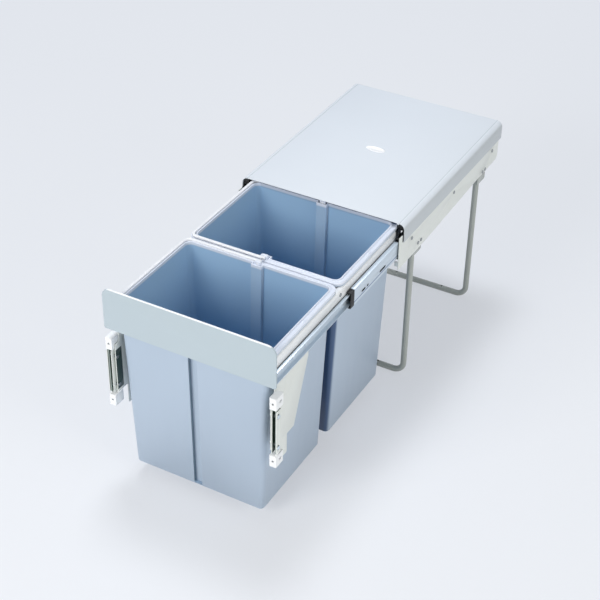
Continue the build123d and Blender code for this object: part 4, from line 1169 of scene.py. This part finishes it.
def in_fold(f):
    """Whether a face of the back lies in the border, along the top or at an end."""
    at = middle(f)
    in_border = abs(at.x) > STRIP_HALF - FOLD_WIDE or at.z > STRIP_TOP - 2 * FOLD_WIDE
    return near(at.y, back_y) and at.z > STRIP_LOW + FOLD_WIDE + 1 and in_border


strip = begin("front_strip", bpy.ops.mesh.primitive_plane_add, strip_place, size=MM,
              rotation=(math.pi / 2, 0, 0))
bpy.ops.transform.resize(value=(2 * STRIP_HALF, 1, STRIP_TOP - STRIP_LOW),
                         center_override=metres(*strip_place))
pick("VERT", lambda v: near(middle(v).z, STRIP_TOP))
round_off(STRIP_TOP_CORNER, 12, "VERTICES")
pick("VERT", lambda v: near(middle(v).z, STRIP_LOW))
round_off(STRIP_LOW_CORNER, 5, "VERTICES")
bpy.ops.mesh.select_all(action="SELECT")
draw_out(y=STRIP_SHEET)
pick("FACE", lambda f: near(middle(f).y, back_y))
bpy.ops.mesh.inset(thickness=FOLD_WIDE * MM)
pick("FACE", in_fold)
draw_out(y=STRIP_SHEET)
close_piece(strip, STRIP_EDGE)
stand_for(strip, "front_panel")

# %% [markdown]
# ## The legs
#
# The lid stands on two legs. Each is a round bar bent into a wide U, painted, with a flat tab welded to each
# top and three holes for floor screws. The bar is one circle drawn down, spun round the bend, drawn along the
# floor, and up again. The spin keeps the section round in the bends, which bending a long cylinder wouldn't.

# %% The legs
LEG_X, LEG_TOP, LEG_ROUND, LEG_BEND, LEG_EDGE = 163.5, 300.0, 12.0, 22.0, 0.5
LEG_FRONT_Y, LEG_REAR_Y = 58.0, 365.0
FLOOR_HOLES_X, FLOOR_HOLE = (-108, 0, 108), 4.8
TAB_IN, TAB_OUT, TAB_LOW, TAB_TOP = 167.5, 169.5, 285.0, 312.5
TAB_FRONT, TAB_BACK, TAB_CORNER, TAB_EDGE = -8.0, 30.0, 3.0, 0.3

bar_z = LEG_ROUND / 2
bend_x, bend_z = LEG_X - LEG_BEND, bar_z + LEG_BEND
leg = begin("front_leg_bar", bpy.ops.mesh.primitive_circle_add, (-LEG_X, 0, LEG_TOP), vertices=32,
            radius=LEG_ROUND / 2 * MM, fill_type="NGON")
draw_out(z=bend_z - LEG_TOP)
bend(leg, (-bend_x, 0, bend_z), (0, 1, 0), (-bend_x, 0, bar_z), 10)
draw_out(x=2 * bend_x)
bend(leg, (bend_x, 0, bend_z), (0, 1, 0), (LEG_X, 0, bend_z), 10)
draw_out(z=LEG_TOP - bend_z)
close_piece(leg, LEG_EDGE)
for x in FLOOR_HOLES_X:
    drill(leg, (x, 0, bar_z), FLOOR_HOLE)
shade_smooth()

tab = block("tab", (TAB_IN, TAB_FRONT, TAB_LOW), (TAB_OUT, TAB_BACK, TAB_TOP))
pick("EDGE", lambda e: near(middle(e).x, (TAB_IN + TAB_OUT) / 2))
round_off(TAB_CORNER, 6)
close_piece(tab, TAB_EDGE)
other_tab = twin(tab, "other_tab", x=-TAB_IN - TAB_OUT)
join_to(leg, tab, other_tab)
rear_leg = twin(leg, "rear_leg_bar", y=LEG_REAR_Y)
front_leg = twin(leg, "front_leg_in_place", y=LEG_FRONT_Y)
bpy.data.objects.remove(leg)
stand_for(front_leg, "front_leg")
stand_for(rear_leg, "rear_leg")

# %% [markdown]
# ## Pressed sheet, with its edges broken
#
# The other sheet parts come from the model with exact holes, folds and slots, so their shape stays as it is.
# Only their edges are too sharp: a pressed and painted edge is round by a few tenths of a millimetre and
# catches the light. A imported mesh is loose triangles, and a bevel needs joined ones, so each part is copied,
# its corners are merged, triangles in one plane are dissolved into whole faces, and the sharp edges get a
# small bevel.

# %% Pressed sheet, with its edges broken
PACKED_MERGE_WITHIN = 0.002
IN_ONE_PLANE = 0.5


def both_sides(*names):
    return [f"{name}_{side}" for name in names for side in ("left", "right")]


def broken_edges(node, edge):
    """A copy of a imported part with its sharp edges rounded."""
    piece = nodes[node].copy()
    piece.data = nodes[node].data.copy()
    piece.name = node + "_softened"
    for key in [key for key in piece.keys() if key.startswith("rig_")]:
        del piece[key]
    bpy.context.collection.objects.link(piece)
    choose(piece)
    bpy.ops.object.mode_set(mode="EDIT")
    bpy.ops.mesh.select_all(action="SELECT")
    bpy.ops.mesh.remove_doubles(threshold=PACKED_MERGE_WITHIN * MM)
    bpy.ops.mesh.dissolve_limited(angle_limit=math.radians(IN_ONE_PLANE))
    to_object_mode()
    soften_edges(piece, edge)
    shade_smooth(SHARP)
    stand_for(piece, node)


EDGES = (
    (0.3, both_sides("side_bracket", "carriage_rail")),
    (0.3, ["front_crossbar", "middle_crossbar", "rear_crossbar"]),
    (0.3, both_sides("door_side_plate")),
    (0.25, both_sides("door_channel")),
    (0.4, both_sides("door_bracket")),
    (0.2, both_sides("slide_outer", "slide_middle", "slide_inner")),
    (0.5, ["lid_rests"]),
    (0.3, both_sides("outer_end_stop", "middle_end_stop")),
)
for edge, alike in EDGES:
    for node in alike:
        broken_edges(node, edge)
print("parts with broken edges:", sum(len(alike) for _, alike in EDGES))
